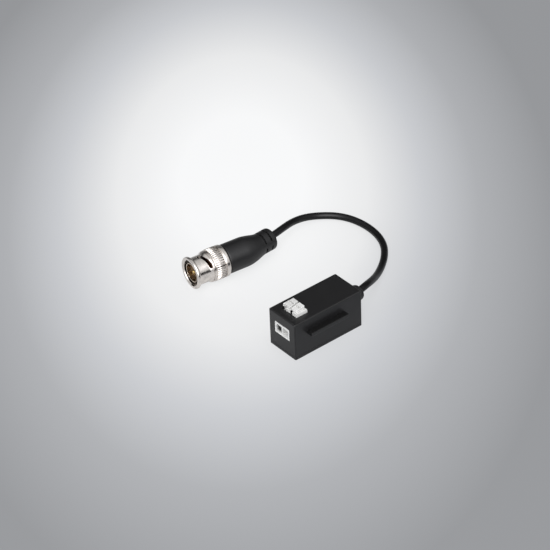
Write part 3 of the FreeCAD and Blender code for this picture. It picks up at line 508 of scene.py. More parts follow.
def moulded(name, colour, roughness, grain, depth, lift=1.35, shine=0.5, painted_shade_boxes=(), shaded_slits=None):
    """Moulded plastic: fine grain, a slow change of tone and gloss, and painted shade in given boxes and
    in slits.
    """
    material, sheet = finish_named(name)
    place = sheet.object_place()
    tone = sheet.noise(place, 260.0, 3.0)
    fine = sheet.noise(place, grain, 2.0, 0.6)
    colours = sheet.blend(tone, scaled(colour, 0.88), scaled(colour, lift))
    # Painted shade: each given box is blended towards a near-black colour
    for low, high, soft, share in painted_shade_boxes:
        colours = sheet.blend(sheet.within(low, high, soft) * share, colours, PAINTED_SHADE_COLOUR)
    gloss = sheet.noise(place, 600.0, 2.0) * 0.09 + (roughness - 0.045)
    # Painted shade in the boot's slits, with the roughness raised there
    if shaded_slits:
        slit_shade = sheet.core(*shaded_slits)
        colours = sheet.blend(slit_shade, colours, SLIT_SHADE_COLOUR)
        gloss = gloss + slit_shade * (1.0 - roughness)
    sheet.surface(Base_Color=colours, Roughness=gloss, Specular_IOR_Level=shine,
                  Normal=sheet.bump(fine, depth))
    return material


def jacket_finish(colour):
    """Extruded jacket: smooth, with faint lengthwise unevenness and rubbed spots."""
    material, sheet = finish_named("Cord jacket")
    place = sheet.object_place()
    slow = sheet.noise(place, 120.0, 2.0)
    fine = sheet.noise(place, 5200.0, 2.0)
    rubbed = sheet.ramp(slow, ((0.52, (0, 0, 0)), (0.78, (1, 1, 1))))
    colours = sheet.blend(rubbed, scaled(colour, 0.92), scaled(colour, 1.5))
    gloss = slow * 0.10 + 0.26
    sheet.surface(Base_Color=colours, Roughness=gloss, Specular_IOR_Level=0.28,
                  Normal=sheet.bump(fine, 0.000006))
    return material


def plated(name, colour, roughness, dark=0.72, bore=None, lines=5200.0, depth=0.0000015):
    """Plated turned metal: rings left by the tool, tarnish in patches, and painted shade outside a bore.
    """
    material, sheet = finish_named(name)
    place = sheet.object_place(1.0, tuple(PLUG_PLACE * MM), PLUG_TURN)
    station = sheet.axes(place)[1]
    ripple = sheet.node("ShaderNodeMath", {"operation": "SINE"}, {0: station * (lines * 6.2832)})
    patches = sheet.noise(place, 420.0, 4.0, 0.6)
    specks = sheet.noise(place, 2600.0, 3.0)
    mask = sheet.ramp(patches, ((0.38, (0, 0, 0)), (0.72, (1, 1, 1))))
    colours = sheet.blend(mask, colour, scaled(colour, dark))
    # Painted shade: surfaces outside the bore's radius, such as the tube's outside seen through the
    # sleeve's slits, turn dark brown
    if bore:
        inside = sheet.core(PLUG_PLACE, PLUG_TURN, bore, 0.1, (-1.0, 20.0))
        colours = sheet.blend(inside, TUBE_SHADE_COLOUR, colours)
    gloss = specks * 0.10 + (roughness - 0.05)
    height = ripple * 0.5 + specks
    sheet.surface(Base_Color=colours, Metallic=1.0, Roughness=gloss,
                  Normal=sheet.bump(height, depth))
    return material


def plain_metal(name, colour, roughness, grain=3000.0):
    """Strip and wire metals inside the box."""
    material, sheet = finish_named(name)
    place = sheet.object_place()
    fine = sheet.noise(place, grain, 3.0)
    colours = sheet.blend(fine, scaled(colour, 0.85), scaled(colour, 1.12))
    sheet.surface(Base_Color=colours, Metallic=1.0, Roughness=fine * 0.15 + roughness,
                  Normal=sheet.bump(fine, 0.000002))
    return material


def board_finish():
    """Green solder mask with the tracks standing out under it."""
    material, sheet = finish_named("Solder mask")
    place = sheet.object_place()
    tracks = sheet.node("ShaderNodeTexVoronoi", {"feature": "DISTANCE_TO_EDGE"},
                        {"Vector": place, "Scale": 420.0})
    mask = sheet.ramp(tracks, ((0.04, (1, 1, 1)), (0.07, (0, 0, 0))))
    colours = sheet.blend(mask, (0.012, 0.085, 0.035), (0.03, 0.17, 0.06))
    sheet.surface(Base_Color=colours, Roughness=0.28, Normal=sheet.bump(mask, 0.00002))
    return material


# Boxes of painted shade for places that see little light, each as two corners in millimetres, a soft edge
# and a share
RAIL_TOP_SHADE = ((7.4, -10.2, 10.6), (10.2, 7.8, 10.8), 0.1, 0.6)
WELLS_SHADE = ((-3.4, -11.85, 12.0), (3.4, -7.5, 16.6), 0.1, 0.97)
RIGHT_NOTCH_SHADE = ((0.45, -12.16, 12.0), (1.55, -11.7, 16.95), 0.02, 0.97)
LEFT_ENTRY_SHADE = ((-3.1, -14.9, 8.0), (-0.4, -5.0, 11.0), 0.8, 0.92)
RIGHT_ENTRY_SHADE = ((0.4, -14.9, 8.0), (3.1, -5.0, 11.0), 0.8, 0.05)

FINISHES = {}


def finishes(context):
    """Every finish of the object, made once."""
    if FINISHES:
        return FINISHES
    colours = context.scene.balun_colours
    rubber = tuple(colours.rubber)
    white = tuple(colours.terminal)
    centre, turned = boot_ring(BOOT_COLLAR)
    # Where the boot's slits get painted shade
    shaded_slits = (PLUG_FRAME @ centre, PLUG_TURN + turned, COLLAR_RADIUS - 0.15, 0.2, (0.0, 4.0))
    made = {
        # Painted shade: on the rail's top for the box, in the wells, the right notch and the wire entries
        # for the terminal, and in the wells for the buttons
        "housing": (moulded, "Satin box plastic", tuple(colours.box), 0.36, 3800.0, 0.000012,
                    1.35, 0.46, (RAIL_TOP_SHADE,)),
        "terminal": (moulded, "White terminal plastic", white, 0.30, 2400.0, 0.000003,
                     1.04, 0.5, (WELLS_SHADE, RIGHT_NOTCH_SHADE, LEFT_ENTRY_SHADE, RIGHT_ENTRY_SHADE)),
        # The left button is a darker copy of the button plastic: painted shade, where the right button
        # shades it
        "button_left": (moulded, "Grey button plastic", scaled(white, 0.86), 0.32, 2400.0,
                        0.000003, 1.05, 0.5, (WELLS_SHADE,)),
        "button_right": (moulded, "White button plastic", scaled(white, 0.98), 0.30, 2400.0,
                         0.000003, 1.04, 0.5, (WELLS_SHADE,)),
        "relief": (moulded, "Strain relief plastic", rubber, 0.42, 3000.0, 0.000010),
        "boot": (moulded, "Boot plastic", rubber, 0.42, 2600.0, 0.000006, 1.2, 0.5, (), shaded_slits),
        "jacket": (jacket_finish, rubber),
        "nickel": (plated, "Bright nickel", tuple(colours.nickel), 0.21),
        # The contact tube gets painted shade outside its bore
        "tube_metal": (plated, "Warm inner nickel", tuple(colours.inner_metal), 0.22, 0.5,
                       CONTACT_RADIUS - 0.15),
        "gold": (plated, "Gold plate", (0.83, 0.60, 0.24), 0.18, 0.8),
        "insulation": (moulded, "Milky insulator", (0.46, 0.38, 0.29), 0.38, 2600.0,
                       0.000004, 1.1),
        "gasket": (moulded, "Gasket rubber", (0.05, 0.05, 0.05), 0.6, 2600.0, 0.000008),
        "spring": (plain_metal, "Spring steel", (0.62, 0.60, 0.56), 0.22),
        "contact": (plain_metal, "Tinned strip", (0.70, 0.68, 0.62), 0.25),
        "solder": (plain_metal, "Solder", (0.70, 0.70, 0.71), 0.2, 1500.0),
        "copper": (plain_metal, "Enamelled copper", (0.72, 0.27, 0.11), 0.2),
        "braid": (plain_metal, "Tinned braid", (0.72, 0.68, 0.60), 0.3, 6000.0),
        "ferrite": (moulded, "Ferrite", (0.05, 0.046, 0.046), 0.6, 2600.0, 0.000020),
        "diode": (moulded, "Moulded epoxy", (0.03, 0.03, 0.033), 0.45, 3600.0, 0.000012),
        "chip": (moulded, "Ceramic", (0.26, 0.18, 0.11), 0.5, 3600.0, 0.000010),
        "board": (board_finish,),
    }
    for slot, (make, *values) in made.items():
        FINISHES[slot] = make(*values)
    return FINISHES


# Geometry Nodes

class Tree:
    """A Geometry Nodes tree with named inputs."""

    def __init__(self, name):
        self.group = bpy.data.node_groups.new(name, "GeometryNodeTree")
        self.sockets = {}
        self.group.interface.new_socket("Geometry", in_out="OUTPUT",
                                        socket_type="NodeSocketGeometry")
        self.inputs = None

    def ask(self, name, kind, default=None):
        socket = self.group.interface.new_socket(name, in_out="INPUT", socket_type=kind)
        if default is not None:
            socket.default_value = default
        self.sockets[name] = socket.identifier

    def open(self):
        self.inputs = self.group.nodes.new("NodeGroupInput")

    def given(self, name):
        return self.inputs.outputs[name]

    def node(self, kind, settings=None, inputs=None):
        made = self.group.nodes.new(kind)
        for key, value in (settings or {}).items():
            setattr(made, key, value)
        for key, value in (inputs or {}).items():
            if isinstance(value, bpy.types.NodeSocket):
                self.group.links.new(value, made.inputs[key])
            else:
                made.inputs[key].default_value = value
        return made

    def close(self, geometry, material):
        real = self.node("GeometryNodeRealizeInstances", None, {0: geometry})
        coat = self.node("GeometryNodeSetMaterial", None, {0: real.outputs[0],
                                                           "Material": material})
        out = self.group.nodes.new("NodeGroupOutput")
        self.group.links.new(coat.outputs[0], out.inputs[0])


def grown(name, tree, values):
    """An object whose mesh a tree makes."""
    mesh = bpy.data.meshes.new(name)
    obj = bpy.data.objects.new(name, mesh)
    bpy.context.scene.collection.objects.link(obj)
    step = obj.modifiers.new("Grow", "NODES")
    step.node_group = tree.group
    for key, value in values.items():
        step[tree.sockets[key]] = value
    return baked(obj)


def rib_tree():
    """Straight ribs round the plug's grip."""
    tree = Tree("Grip ribs")
    tree.ask("Ribs", "NodeSocketInt", 44)
    tree.ask("Ring", "NodeSocketFloat", 0.006)
    tree.ask("Rib", "NodeSocketFloat", 0.0003)
    tree.ask("Length", "NodeSocketFloat", 0.004)
    tree.ask("Material", "NodeSocketMaterial")
    tree.open()
    ring = tree.node("GeometryNodeMeshCircle", None,
                     {"Vertices": tree.given("Ribs"), "Radius": tree.given("Ring")})
    rib = tree.node("GeometryNodeMeshCylinder", None,
                    {"Vertices": 10, "Radius": tree.given("Rib"), "Depth": tree.given("Length")})
    copies = tree.node("GeometryNodeInstanceOnPoints", None,
                       {"Points": ring.outputs[0], "Instance": rib.outputs["Mesh"]})
    smooth = tree.node("GeometryNodeSetShadeSmooth", None, {0: copies.outputs[0]})
    tree.close(smooth.outputs[0], tree.given("Material"))
    return tree


def winding_tree():
    """Turns of wire about a part of a ring core."""
    tree = Tree("Winding")
    tree.ask("Turns", "NodeSocketInt", 5)
    tree.ask("Start", "NodeSocketFloat", 0.0)
    tree.ask("Sweep", "NodeSocketFloat", 2.0)
    tree.ask("Middle", "NodeSocketFloat", 0.003)
    tree.ask("Width", "NodeSocketFloat", 0.002)
    tree.ask("Height", "NodeSocketFloat", 0.004)
    tree.ask("Wire", "NodeSocketFloat", 0.0002)
    tree.ask("Material", "NodeSocketMaterial")
    tree.open()
    loop = tree.node("GeometryNodeCurvePrimitiveQuadrilateral", None,
                     {"Width": tree.given("Width"), "Height": tree.given("Height")})
    soft = tree.node("GeometryNodeFilletCurve", {"mode": "POLY"},
                     {"Curve": loop.outputs[0], "Count": 5, "Radius": 0.0006})
    section = tree.node("GeometryNodeCurvePrimitiveCircle", None,
                        {"Resolution": 14, "Radius": tree.given("Wire")})
    turn = tree.node("GeometryNodeCurveToMesh", None,
                     {0: soft.outputs[0], 1: section.outputs[0]})
    stand = tree.node("GeometryNodeTransform", None,
                      {"Geometry": turn.outputs[0], "Rotation": (math.pi / 2, 0, 0)})
    out = tree.node("ShaderNodeCombineXYZ", None, {0: tree.given("Middle")})
    shift = tree.node("GeometryNodeTransform", None,
                      {"Geometry": stand.outputs[0], "Translation": out.outputs[0]})
    points = tree.node("GeometryNodeMeshLine", {"mode": "OFFSET"},
                       {"Count": tree.given("Turns"), "Offset": (0, 0, 0)})
    index = tree.node("GeometryNodeInputIndex")
    gaps = tree.node("ShaderNodeMath", {"operation": "SUBTRACT"},
                     {0: tree.given("Turns"), 1: 1.0})
    share = tree.node("ShaderNodeMath", {"operation": "DIVIDE"},
                      {0: index.outputs[0], 1: gaps.outputs[0]})
    sweep = tree.node("ShaderNodeMath", {"operation": "MULTIPLY_ADD"},
                      {0: share.outputs[0], 1: tree.given("Sweep"), 2: tree.given("Start")})
    spin = tree.node("ShaderNodeCombineXYZ", None, {2: sweep.outputs[0]})
    copies = tree.node("GeometryNodeInstanceOnPoints", None,
                       {"Points": points.outputs[0], "Instance": shift.outputs[0],
                        "Rotation": spin.outputs[0]})
    smooth = tree.node("GeometryNodeSetShadeSmooth", None, {0: copies.outputs[0]})
    tree.close(smooth.outputs[0], tree.given("Material"))
    return tree


# Pieces

class BALUN_OT_stage(bpy.types.Operator):
    """Make the floor, the lamps, the world and the camera"""
    bl_idname = "balun.stage"
    bl_label = "Stage"

    def execute(self, context):
        self.camera(context)
        self.world(context)
        self.floor(context)
        self.lamp(context, "Key lamp", (0.34, -0.42, 0.62), 0.42, 2.15)
        self.lamp(context, "Top lamp", (0.02, 0.02, 0.75), 0.5, 0.85)
        self.lamp(context, "Side lamp", (0.70, 0.12, 0.16), 0.35, 1.7)
        self.lamp(context, "Front lamp", (0.05, -0.70, 0.18), 0.35, 1.5)
        context.scene.view_settings.view_transform = "Standard"
        return {"FINISHED"}

    def camera(self, context):
        """The photograph's viewpoint, solved on the box's edges."""
        right = Vector((math.cos(CAMERA_TURN), math.sin(CAMERA_TURN), 0))
        level = math.cos(CAMERA_RISE)
        back = Vector((math.sin(CAMERA_TURN) * level, -math.cos(CAMERA_TURN) * level,
                       math.sin(CAMERA_RISE)))
        up = back.cross(right)
        across = right * math.cos(CAMERA_ROLL) + up * math.sin(CAMERA_ROLL)
        data = bpy.data.cameras.new("Camera")
        data.sensor_width = 36.0
        data.sensor_fit = "HORIZONTAL"
        data.lens = CAMERA_LENS
        camera = bpy.data.objects.new("Camera", data)
        context.scene.collection.objects.link(camera)
        matrix = Matrix((across, back.cross(across), back)).transposed().to_4x4()
        matrix.translation = CAMERA_PLACE * MM
        camera.matrix_world = matrix
        context.scene.camera = camera

    def world(self, context):
        """Soft grey light; reflections see a bright side and a dark side."""
        world = bpy.data.worlds.new("Studio")
        context.scene.world = world
        sheet = Sheet(world)
        light = sheet.tree.nodes.new("ShaderNodeLightPath")
        seen = Wire(sheet, light.outputs["Is Camera Ray"])
        mirrored = Wire(sheet, light.outputs["Is Glossy Ray"])
        way = sheet.node("ShaderNodeTexCoord", output=0)
        side = sheet.node("ShaderNodeVectorMath", {"operation": "DOT_PRODUCT"},
                          {0: way, 1: (0.62, -0.42, 0.66)}, output=1)
        stops = ((0.25, (0.05, 0.05, 0.05)), (0.33, (0.008, 0.008, 0.008)),
                 (0.43, (0.01, 0.01, 0.01)), (0.56, (0.11, 0.11, 0.11)),
                 (0.84, (0.15, 0.15, 0.15)), (0.90, (0.35, 0.35, 0.36)), (0.97, (1.0, 1.0, 1.0)))
        glow = sheet.ramp(side * 0.5 + 0.5, stops)
        tone = sheet.blend(mirrored, (0.42, 0.42, 0.43), glow)
        tone = sheet.blend(seen, tone, (0.90, 0.905, 0.91))
        shade = sheet.node("ShaderNodeBackground", None,
                           {"Color": tone, "Strength": mirrored * 4.2 + 1.0})
        sheet.node("ShaderNodeOutputWorld", None, {"Surface": shade})

    def floor(self, context):
        """A wide pale floor that keeps the object's shadow, with a painted pool of light that fades and
        cools away from its middle.
        """
        bm = bmesh.new()
        bmesh.ops.create_grid(bm, x_segments=1, y_segments=1, size=6000.0)
        material, sheet = finish_named("Studio floor")
        place = sheet.node("ShaderNodeTexCoord", output=3)
        oval = sheet.node("ShaderNodeMapping", {"vector_type": "TEXTURE"},
                          {"Vector": place, "Location": FLOOR_MIDDLE,
                           "Rotation": (0, 0, math.radians(52.0)), "Scale": FLOOR_OVAL})
        away = sheet.node("ShaderNodeVectorMath", {"operation": "LENGTH"}, {0: oval}, output=1)
        pale = tuple(context.scene.balun_colours.floor)
        cool = (pale[0] * 0.97, pale[1] * 0.985, pale[2] * 1.02)
        # Painted pool of light: the floor's colour fades and cools away from the middle of the oval
        colour = sheet.ramp(away, ((0.20, pale), (0.40, scaled(pale, 0.88)),
                                   (0.58, scaled(cool, 0.65)), (0.75, scaled(cool, 0.47)),
                                   (1.0, scaled(cool, 0.34))))
        light = sheet.tree.nodes.new("ShaderNodeLightPath")
        seen = Wire(sheet, light.outputs["Is Camera Ray"])
        mirrored = Wire(sheet, light.outputs["Is Glossy Ray"])
        lit = sheet.node("ShaderNodeBsdfDiffuse", None, {"Color": colour})
        glow = sheet.node("ShaderNodeEmission", None,
                          {"Color": colour, "Strength": seen * 1.18 + mirrored * 0.95})
        share = seen * 0.75 + mirrored * 0.3
        both = sheet.node("ShaderNodeMixShader", None, {0: share, 1: lit, 2: glow})
        sheet.node("ShaderNodeOutputMaterial", None, {"Surface": both})
        floor = new_object("floor", bm, material)

    def lamp(self, context, name, place, size, power):
        data = bpy.data.lights.new(name, "AREA")
        data.shape = "DISK"
        data.size = size
        data.energy = power
        data.use_shadow = True
        lamp = bpy.data.objects.new(name, data)
        context.scene.collection.objects.link(lamp)
        place = Vector(place)
        aim = Vector((-0.02, 0.01, 0.0)) - place
        lamp.visible_glossy = False
        facing = aim.to_track_quat("-Z", "Y").to_matrix().to_4x4()
        lamp.matrix_world = Matrix.Translation(place) @ facing


class BALUN_OT_cord(bpy.types.Operator):
    """Make the coaxial cord"""
    bl_idname = "balun.cord"
    bl_label = "Cord"

    def execute(self, context):
        sizes = context.scene.balun_sizes
        curve = bpy.data.curves.new("coaxial_cord", "CURVE")
        curve.dimensions = "3D"
        curve.bevel_depth = sizes.cord_diameter / 2
        curve.bevel_resolution = 8
        curve.resolution_u = 14
        curve.use_fill_caps = True
        spline = curve.splines.new("NURBS")
        spline.points.add(len(CORD_ROUTE) - 1)
        for point, place in zip(spline.points, CORD_ROUTE):
            point.co = (*(Vector(place) * MM), 1.0)
        spline.order_u = 3
        spline.use_endpoint_u = True
        cord = bpy.data.objects.new("coaxial_cord", curve)
        context.scene.collection.objects.link(cord)
        curve.materials.append(finishes(context)["jacket"])
        carried(cord, "balun", "jacket", "cord")
        return {"FINISHED"}


class BALUN_OT_housing(bpy.types.Operator):
    """Make the box's two mouldings and the side rail"""
    bl_idname = "balun.housing"
    bl_label = "Box"

    def execute(self, context):
        sizes = context.scene.balun_sizes
        finish = finishes(context)["housing"]
        edge = sizes.edge / MM
        low = COVER_TOP + sizes.parting / MM
        shell = slab("box_shell", (-BOX_SIDE, BOX_SIDE), (-BOX_END, BOX_END), (low, BOX_TOP), edge,
                     lambda a, b: abs(a.z - b.z) > 1 or min(a.z, b.z) > BOX_TOP - 0.01)
        room = slab("Room", (-6.15, 6.15), (-14.7, 14.7), (0, ROOF_UNDERSIDE))
        window = slab("Window", (-4.05, 4.05), (-17, -14), (6.95, 11.85))
        hatch = slab("Hatch", (-4.1, 4.1), (-12.3, -7.05), (13, 17))
        slot = slab("Slot", (-9, -5), (-10.2, 7.8), (9.0, 10.9))
        hole = lathe("Hole", [(13, 0), (13, 2.3), (18, 2.3), (18, 0)], 64, False)
        placed(hole, Matrix.Translation((0, 0, GLAND_HEIGHT)))
        combined(shell, [room, window, hatch, slot, hole])
        dressed(shell, finish, sizes.small_edge)
        rail = slab("Rail", (6.8, 9.95), (-10.0, 7.6), (9.2, 10.7), 0.25,
                    lambda a, b: a.x > 9.5 and b.x > 9.5, 3)
        dressed(rail, finish, sizes.small_edge)
        self.joined(context, shell, rail)
        carried(shell, "balun", "housing", "housing_shell")
        self.cover(context, finish, edge)
        return {"FINISHED"}

    def joined(self, context, main, extra):
        with context.temp_override(active_object=main, object=main,
                                   selected_editable_objects=[main, extra],
                                   selected_objects=[main, extra]):
            bpy.ops.object.join()

    def cover(self, context, finish, edge):
        sizes = context.scene.balun_sizes
        cover = slab("box_cover", (-BOX_SIDE, BOX_SIDE), (-BOX_END, BOX_END), (0, COVER_TOP), edge,
                     lambda a, b: abs(a.z - b.z) > 1)
        lip = slab("Lip", (-6.05, 6.05), (-14.6, 14.6), (0.6, 2.4))
        hollow = slab("Hollow", (-5.15, 5.15), (-13.7, 13.7), (COVER_TOP, 4))
        combined(cover, [lip], "UNION")
        combined(cover, [hollow])
        dressed(cover, finish, sizes.small_edge)
        carried(cover, "balun", "housing", "bottom_cover")


class BALUN_OT_terminal(bpy.types.Operator):
    """Make the white terminal block"""
    bl_idname = "balun.terminal"
    bl_label = "Terminal"

    def execute(self, context):
        sizes = context.scene.balun_sizes
        entry = sizes.entry / MM
        outline = ((-BOX_END, 7.0), (-14.6, 7.0), (-14.6, 4.2), (-5.0, 4.2), (-5.0, 14.2),
                   (-7.15, 14.2), (-7.15, TERMINAL_TOP), (-12.2, TERMINAL_TOP), (-12.2, 14.2),
                   (-14.6, 14.2), (-14.6, 11.8), (-BOX_END, 11.8))
        block = extruded("terminal_block", outline, (-TERMINAL_SIDE, TERMINAL_SIDE))
        cheek = slab("Cheek", (-TERMINAL_SIDE, -3.4), (-11.75, -7.15), (14.2, 17.7), 0.22,
                     lambda a, b: min(a.z, b.z) > 17.6)
        combined(block, [cheek], "UNION")
        cutters = []
        for _, x in POLES:
            cutters.append(frustum("Funnel", x, (-15.95, -14.3), ENTRY_HEIGHT, entry / 2, 1.3))
            cutters.append(slab("Throat", (x - 1.3, x + 1.3), (-14.5, -12), (8.1, 10.7)))
            cutters.append(slab("Cavity", (x - 1.5, x + 1.5), (-13.1, -5.6), (5.0, 11.4)))
            cutters.append(slab("Well", (x - 1.55, x + 1.55), (-11.75, -7.6), (11.2, 18)))
            cutters.append(slab("Notch", (x - 1.25, x - 0.25), (-12.5, -11.65), (14.7, 18)))
        cutters.append(slab("Corner", (-4.5, -2.5), (-12.5, -11.15), (14.7, 16.6)))
        cutters.append(slab("Corner", (-4.5, -2.5), (-12.5, -11.8), (16.5, 19)))
        combined(block, cutters)
        dressed(block, finishes(context)["terminal"], sizes.small_edge * 0.9)
        carried(block, "balun", "terminal", "terminal_body")
        return {"FINISHED"}


class BALUN_OT_buttons(bpy.types.Operator):
    """Make the two release buttons"""
    bl_idname = "balun.buttons"
    bl_label = "Buttons"

    def execute(self, context):
        sizes = context.scene.balun_sizes
        front, back = BUTTON_FRONT, BUTTON_BACK
        middle = (front + back) / 2
        slope = math.atan2(0.8, back - front)
        outline = ((front, 11.0), (middle, 11.0), (middle, 12.9), (back, 12.9),
                   (back, 18.6), (front, 17.8))
        for side, x in POLES:
            button = extruded("button_" + side, outline, (x - BUTTON_SIDE, x + BUTTON_SIDE))
            bm = bmesh.new()
            bm.from_mesh(button.data)
            picked = [e for e in bm.edges if min(v.co.z for v in e.verts) > 17.5 * MM
                      or (abs(e.verts[0].co.z - e.verts[1].co.z) > 4 * MM)]
            bmesh.ops.bevel(bm, geom=picked, offset=0.22 * MM, segments=4, profile=0.5,
                            affect="EDGES")
            bm.to_mesh(button.data)
            bm.free()
            slot = slab("Slot", (x - 1.1, x + 1.1), (-0.275, 0.275), (-0.6, 1.0))
            placed(slot, Matrix.Translation((0, middle, 18.2)) @ Matrix.Rotation(slope, 4, "X"))
            under = slab("Undercut", (x - 1.6, x - 0.25), (front - 0.1, front + 1.2), (14.7, 16.9))
            combined(button, [slot, under])
            dressed(button, finishes(context)["button_" + side], sizes.small_edge * 0.7)
            carried(button, "button_" + side, "button_" + side, "release_button_" + side)
        return {"FINISHED"}


class BALUN_OT_strain_relief(bpy.types.Operator):
    """Make the strain relief on the box"""
    bl_idname = "balun.strain_relief"
    bl_label = "Strain relief"

    def execute(self, context):
        around = context.scene.balun_sizes.round_steps // 2
        finish = finishes(context)["relief"]
        straight = [(13.95, CORD_HOLE, 0), (13.95, 3.0, 0.15), (14.67, 3.0, 0.15), (14.67, 2.27, 0),
                    (15.93, 2.27, 0), (15.93, 3.6, 0.1), (16.93, 3.6, 0.4), (17.4, 3.3, 0.1),
                    (17.4, CORD_HOLE, 0)]
        bm = bmesh.new()
        lathe_mesh(bm, eased(straight), around)
        bmesh.ops.translate(bm, vec=(0, 0, GLAND_HEIGHT), verts=bm.verts)
        root = new_object("relief_root", bm)
        length = 5.5 / math.cos(GLAND_LEAN)
        sleeve = [(0.3, CORD_HOLE, 0), (0.3, 3.25, 0), (1.4, 3.25, 0.5), (length, 3.05, 0.55),
                  (length, 1.42, 0.12), (length - 0.5, CORD_HOLE, 0)]
        bm = bmesh.new()
        lathe_mesh(bm, eased(sleeve), around)
        cone = new_object("relief_sleeve", bm)
        placed(cone, Matrix.Translation((0, BOX_END, GLAND_HEIGHT))
               @ Matrix.Rotation(GLAND_LEAN, 4, "Z"))
        dressed(root, finish, 0.0)
        dressed(cone, finish, 0.0)
        carried(root, "balun", "relief", "strain_relief")
        carried(cone, "balun", "relief", "strain_relief")
        return {"FINISHED"}


def helix_cutter(name, track, half_width, inner, outer):
    """A cutter that follows (angle, station, width share) points round the neck."""
    bm = bmesh.new()
    flat = [Vector((math.radians(a) * NECK_RADIUS, s)) for a, s, _ in track]
    rows = []
    for i, (point, (_, _, share)) in enumerate(zip(flat, track)):
        ahead = flat[min(i + 1, len(flat) - 1)] - flat[max(i - 1, 0)]
        across = Vector((-ahead.y, ahead.x)).normalized() * half_width * share
        row = []
        for radius in (inner, outer):
            for side in (-1, 1):
                place = point + across * side
                angle = place.x / NECK_RADIUS
                row.append(bm.verts.new((-radius * math.cos(angle), place.y,
                                         radius * math.sin(angle))))
        rows.append(row)
    for first, second in zip(rows, rows[1:]):
        for a, b in ((0, 1), (1, 3), (3, 2), (2, 0)):
            bm.faces.new((first[a], first[b], second[b], second[a]))
    for row in (rows[0], rows[-1]):
        bm.faces.new((row[0], row[1], row[3], row[2]))
    bmesh.ops.recalc_face_normals(bm, faces=bm.faces)
    return new_object(name, bm)


def track_points(half):
    """The slit's centre line as (angle, station, width share), with round ends."""
    corners = ((83, 3.2, 0), (88, 4.95, 0.9), (124, 6.2, 2.0), (153, 6.65, 0))
    line = eased([(math.radians(a) * NECK_RADIUS, s, r) for a, s, r in corners], False, 10)
    points = []
    for first, second in zip(line, line[1:]):
        steps = max(1, int((second - first).length / 0.2))
        points.extend(first.lerp(second, i / steps) for i in range(steps))
    points.append(line[-1])
    shares = [1.0] * len(points)
    for index, share in enumerate((0.3, 0.7, 0.9)):
        shares[index] = share
        shares[-1 - index] = share
    return [(math.degrees(p.x / NECK_RADIUS) + half, p.y, share)
            for p, share in zip(points, shares)]


class BALUN_OT_sleeve(bpy.types.Operator):
    """Make the turning bayonet sleeve"""
    bl_idname = "balun.sleeve"
    bl_label = "Bayonet sleeve"

    def execute(self, context):
        sizes = context.scene.balun_sizes
        nickel = finishes(context)["nickel"]
        outline = [
            (0.0, 5.15, 0.1), (0.0, 6.4, 0.45), (1.1, 6.4, 0.4), (1.25, NECK_RADIUS, 0.45),
            (5.8, NECK_RADIUS, 0.5), (6.3, 5.62, 0.5), (6.95, 6.1, 0.4), (7.2, 6.1, 0.1), (7.2, 5.9, 0.03),
            (7.4, 5.9, 0.03), (7.4, 6.25, 0.12), (8.1, 6.25, 0.12), (8.1, 5.95, 0.03),
            (8.5, 5.95, 0.03), (8.5, KNURL_RING, 0.05), (12.5, KNURL_RING, 0.05), (12.5, 5.95, 0.03),
            (12.9, 5.95, 0.03), (12.9, 6.4, 0.4), (14.6, 6.4, 0.5), (14.6, 3.75, 0.1),
            (12.6, 3.75, 0.0), (12.6, 4.9, 0.0), (0.35, 4.9, 0.1)]
        sleeve = lathe("bayonet_sleeve", eased(outline, True, 6), sizes.round_steps)
        cutters = []
        for half in (0, 180):
            cutters.append(helix_cutter("Slit", track_points(half), 0.66, 4.4, 7.0))
            entry = slab("Entry", (4.0, 5.35), (-1.0, 3.6), (-1.1, 1.1))
            placed(entry, Matrix.Rotation(math.radians(74 + half - 180), 4, "Y"))
            cutters.append(entry)
        combined(sleeve, cutters)
        dressed(sleeve, nickel, 0.0, 38.0)
        placed(sleeve, PLUG_FRAME)
        carried(sleeve, "sleeve", "nickel", "coupling_sleeve")
        ribs = grown("grip_ribs", rib_tree(),
                     {"Ribs": sizes.ribs, "Ring": KNURL_RING * MM, "Rib": 0.26 * MM,
                      "Length": 3.9 * MM, "Material": nickel})
        lay = Matrix.Translation((0, KNURL_MIDDLE, 0)) @ Matrix.Rotation(math.pi / 2, 4, "X")
        placed(ribs, PLUG_FRAME @ lay)
        carried(ribs, "sleeve", "nickel")
        return {"FINISHED"}


class BALUN_OT_contacts(bpy.types.Operator):
    """Make the plug's sprung contact, insulator and pin"""
    bl_idname = "balun.contacts"
    bl_label = "Plug contacts"

    def execute(self, context):
        around = context.scene.balun_sizes.round_steps // 2
        wall = eased([(0.6, 3.55, 0.12), (0.6, CONTACT_RADIUS, 0.25), (10.2, CONTACT_RADIUS, 0),
                      (10.2, 3.55, 0)])
        tube = lathe("sprung_contact", wall, around)
        cutters = []
        for angle in (45, 135):
            cutter = slab("Slot", (-5, 5), (0, 5.6), (-0.2, 0.2))
            placed(cutter, Matrix.Rotation(math.radians(angle), 4, "Y"))
            cutters.append(cutter)
        combined(tube, cutters)
        self.settle(tube, "tube_metal", "contact_tube")
        ring = eased([(4.6, 0.71, 0), (4.6, 2.4, 0.15), (5.6, 2.4, 0.05), (5.6, 3.52, 0.05),
                      (12.0, 3.52, 0), (12.0, 0.71, 0)])
        self.settle(lathe("insulator_ring", ring, around), "insulation", "insulator")
        stem = eased([(1.3, 0, 0), (1.3, 0.675, 0.6), (12.0, 0.675, 0), (12.0, 1.15, 0),
                      (14.0, 1.15, 0), (14.0, 0, 0)], False)
        self.settle(lathe("gold_pin", stem, 32, False), "gold", "centre_pin")
        return {"FINISHED"}

    def settle(self, obj, slot, node):
        dressed(obj, finishes(bpy.context)[slot], 0.0, 38.0)
        placed(obj, PLUG_FRAME)
        carried(obj, "balun", slot, node)


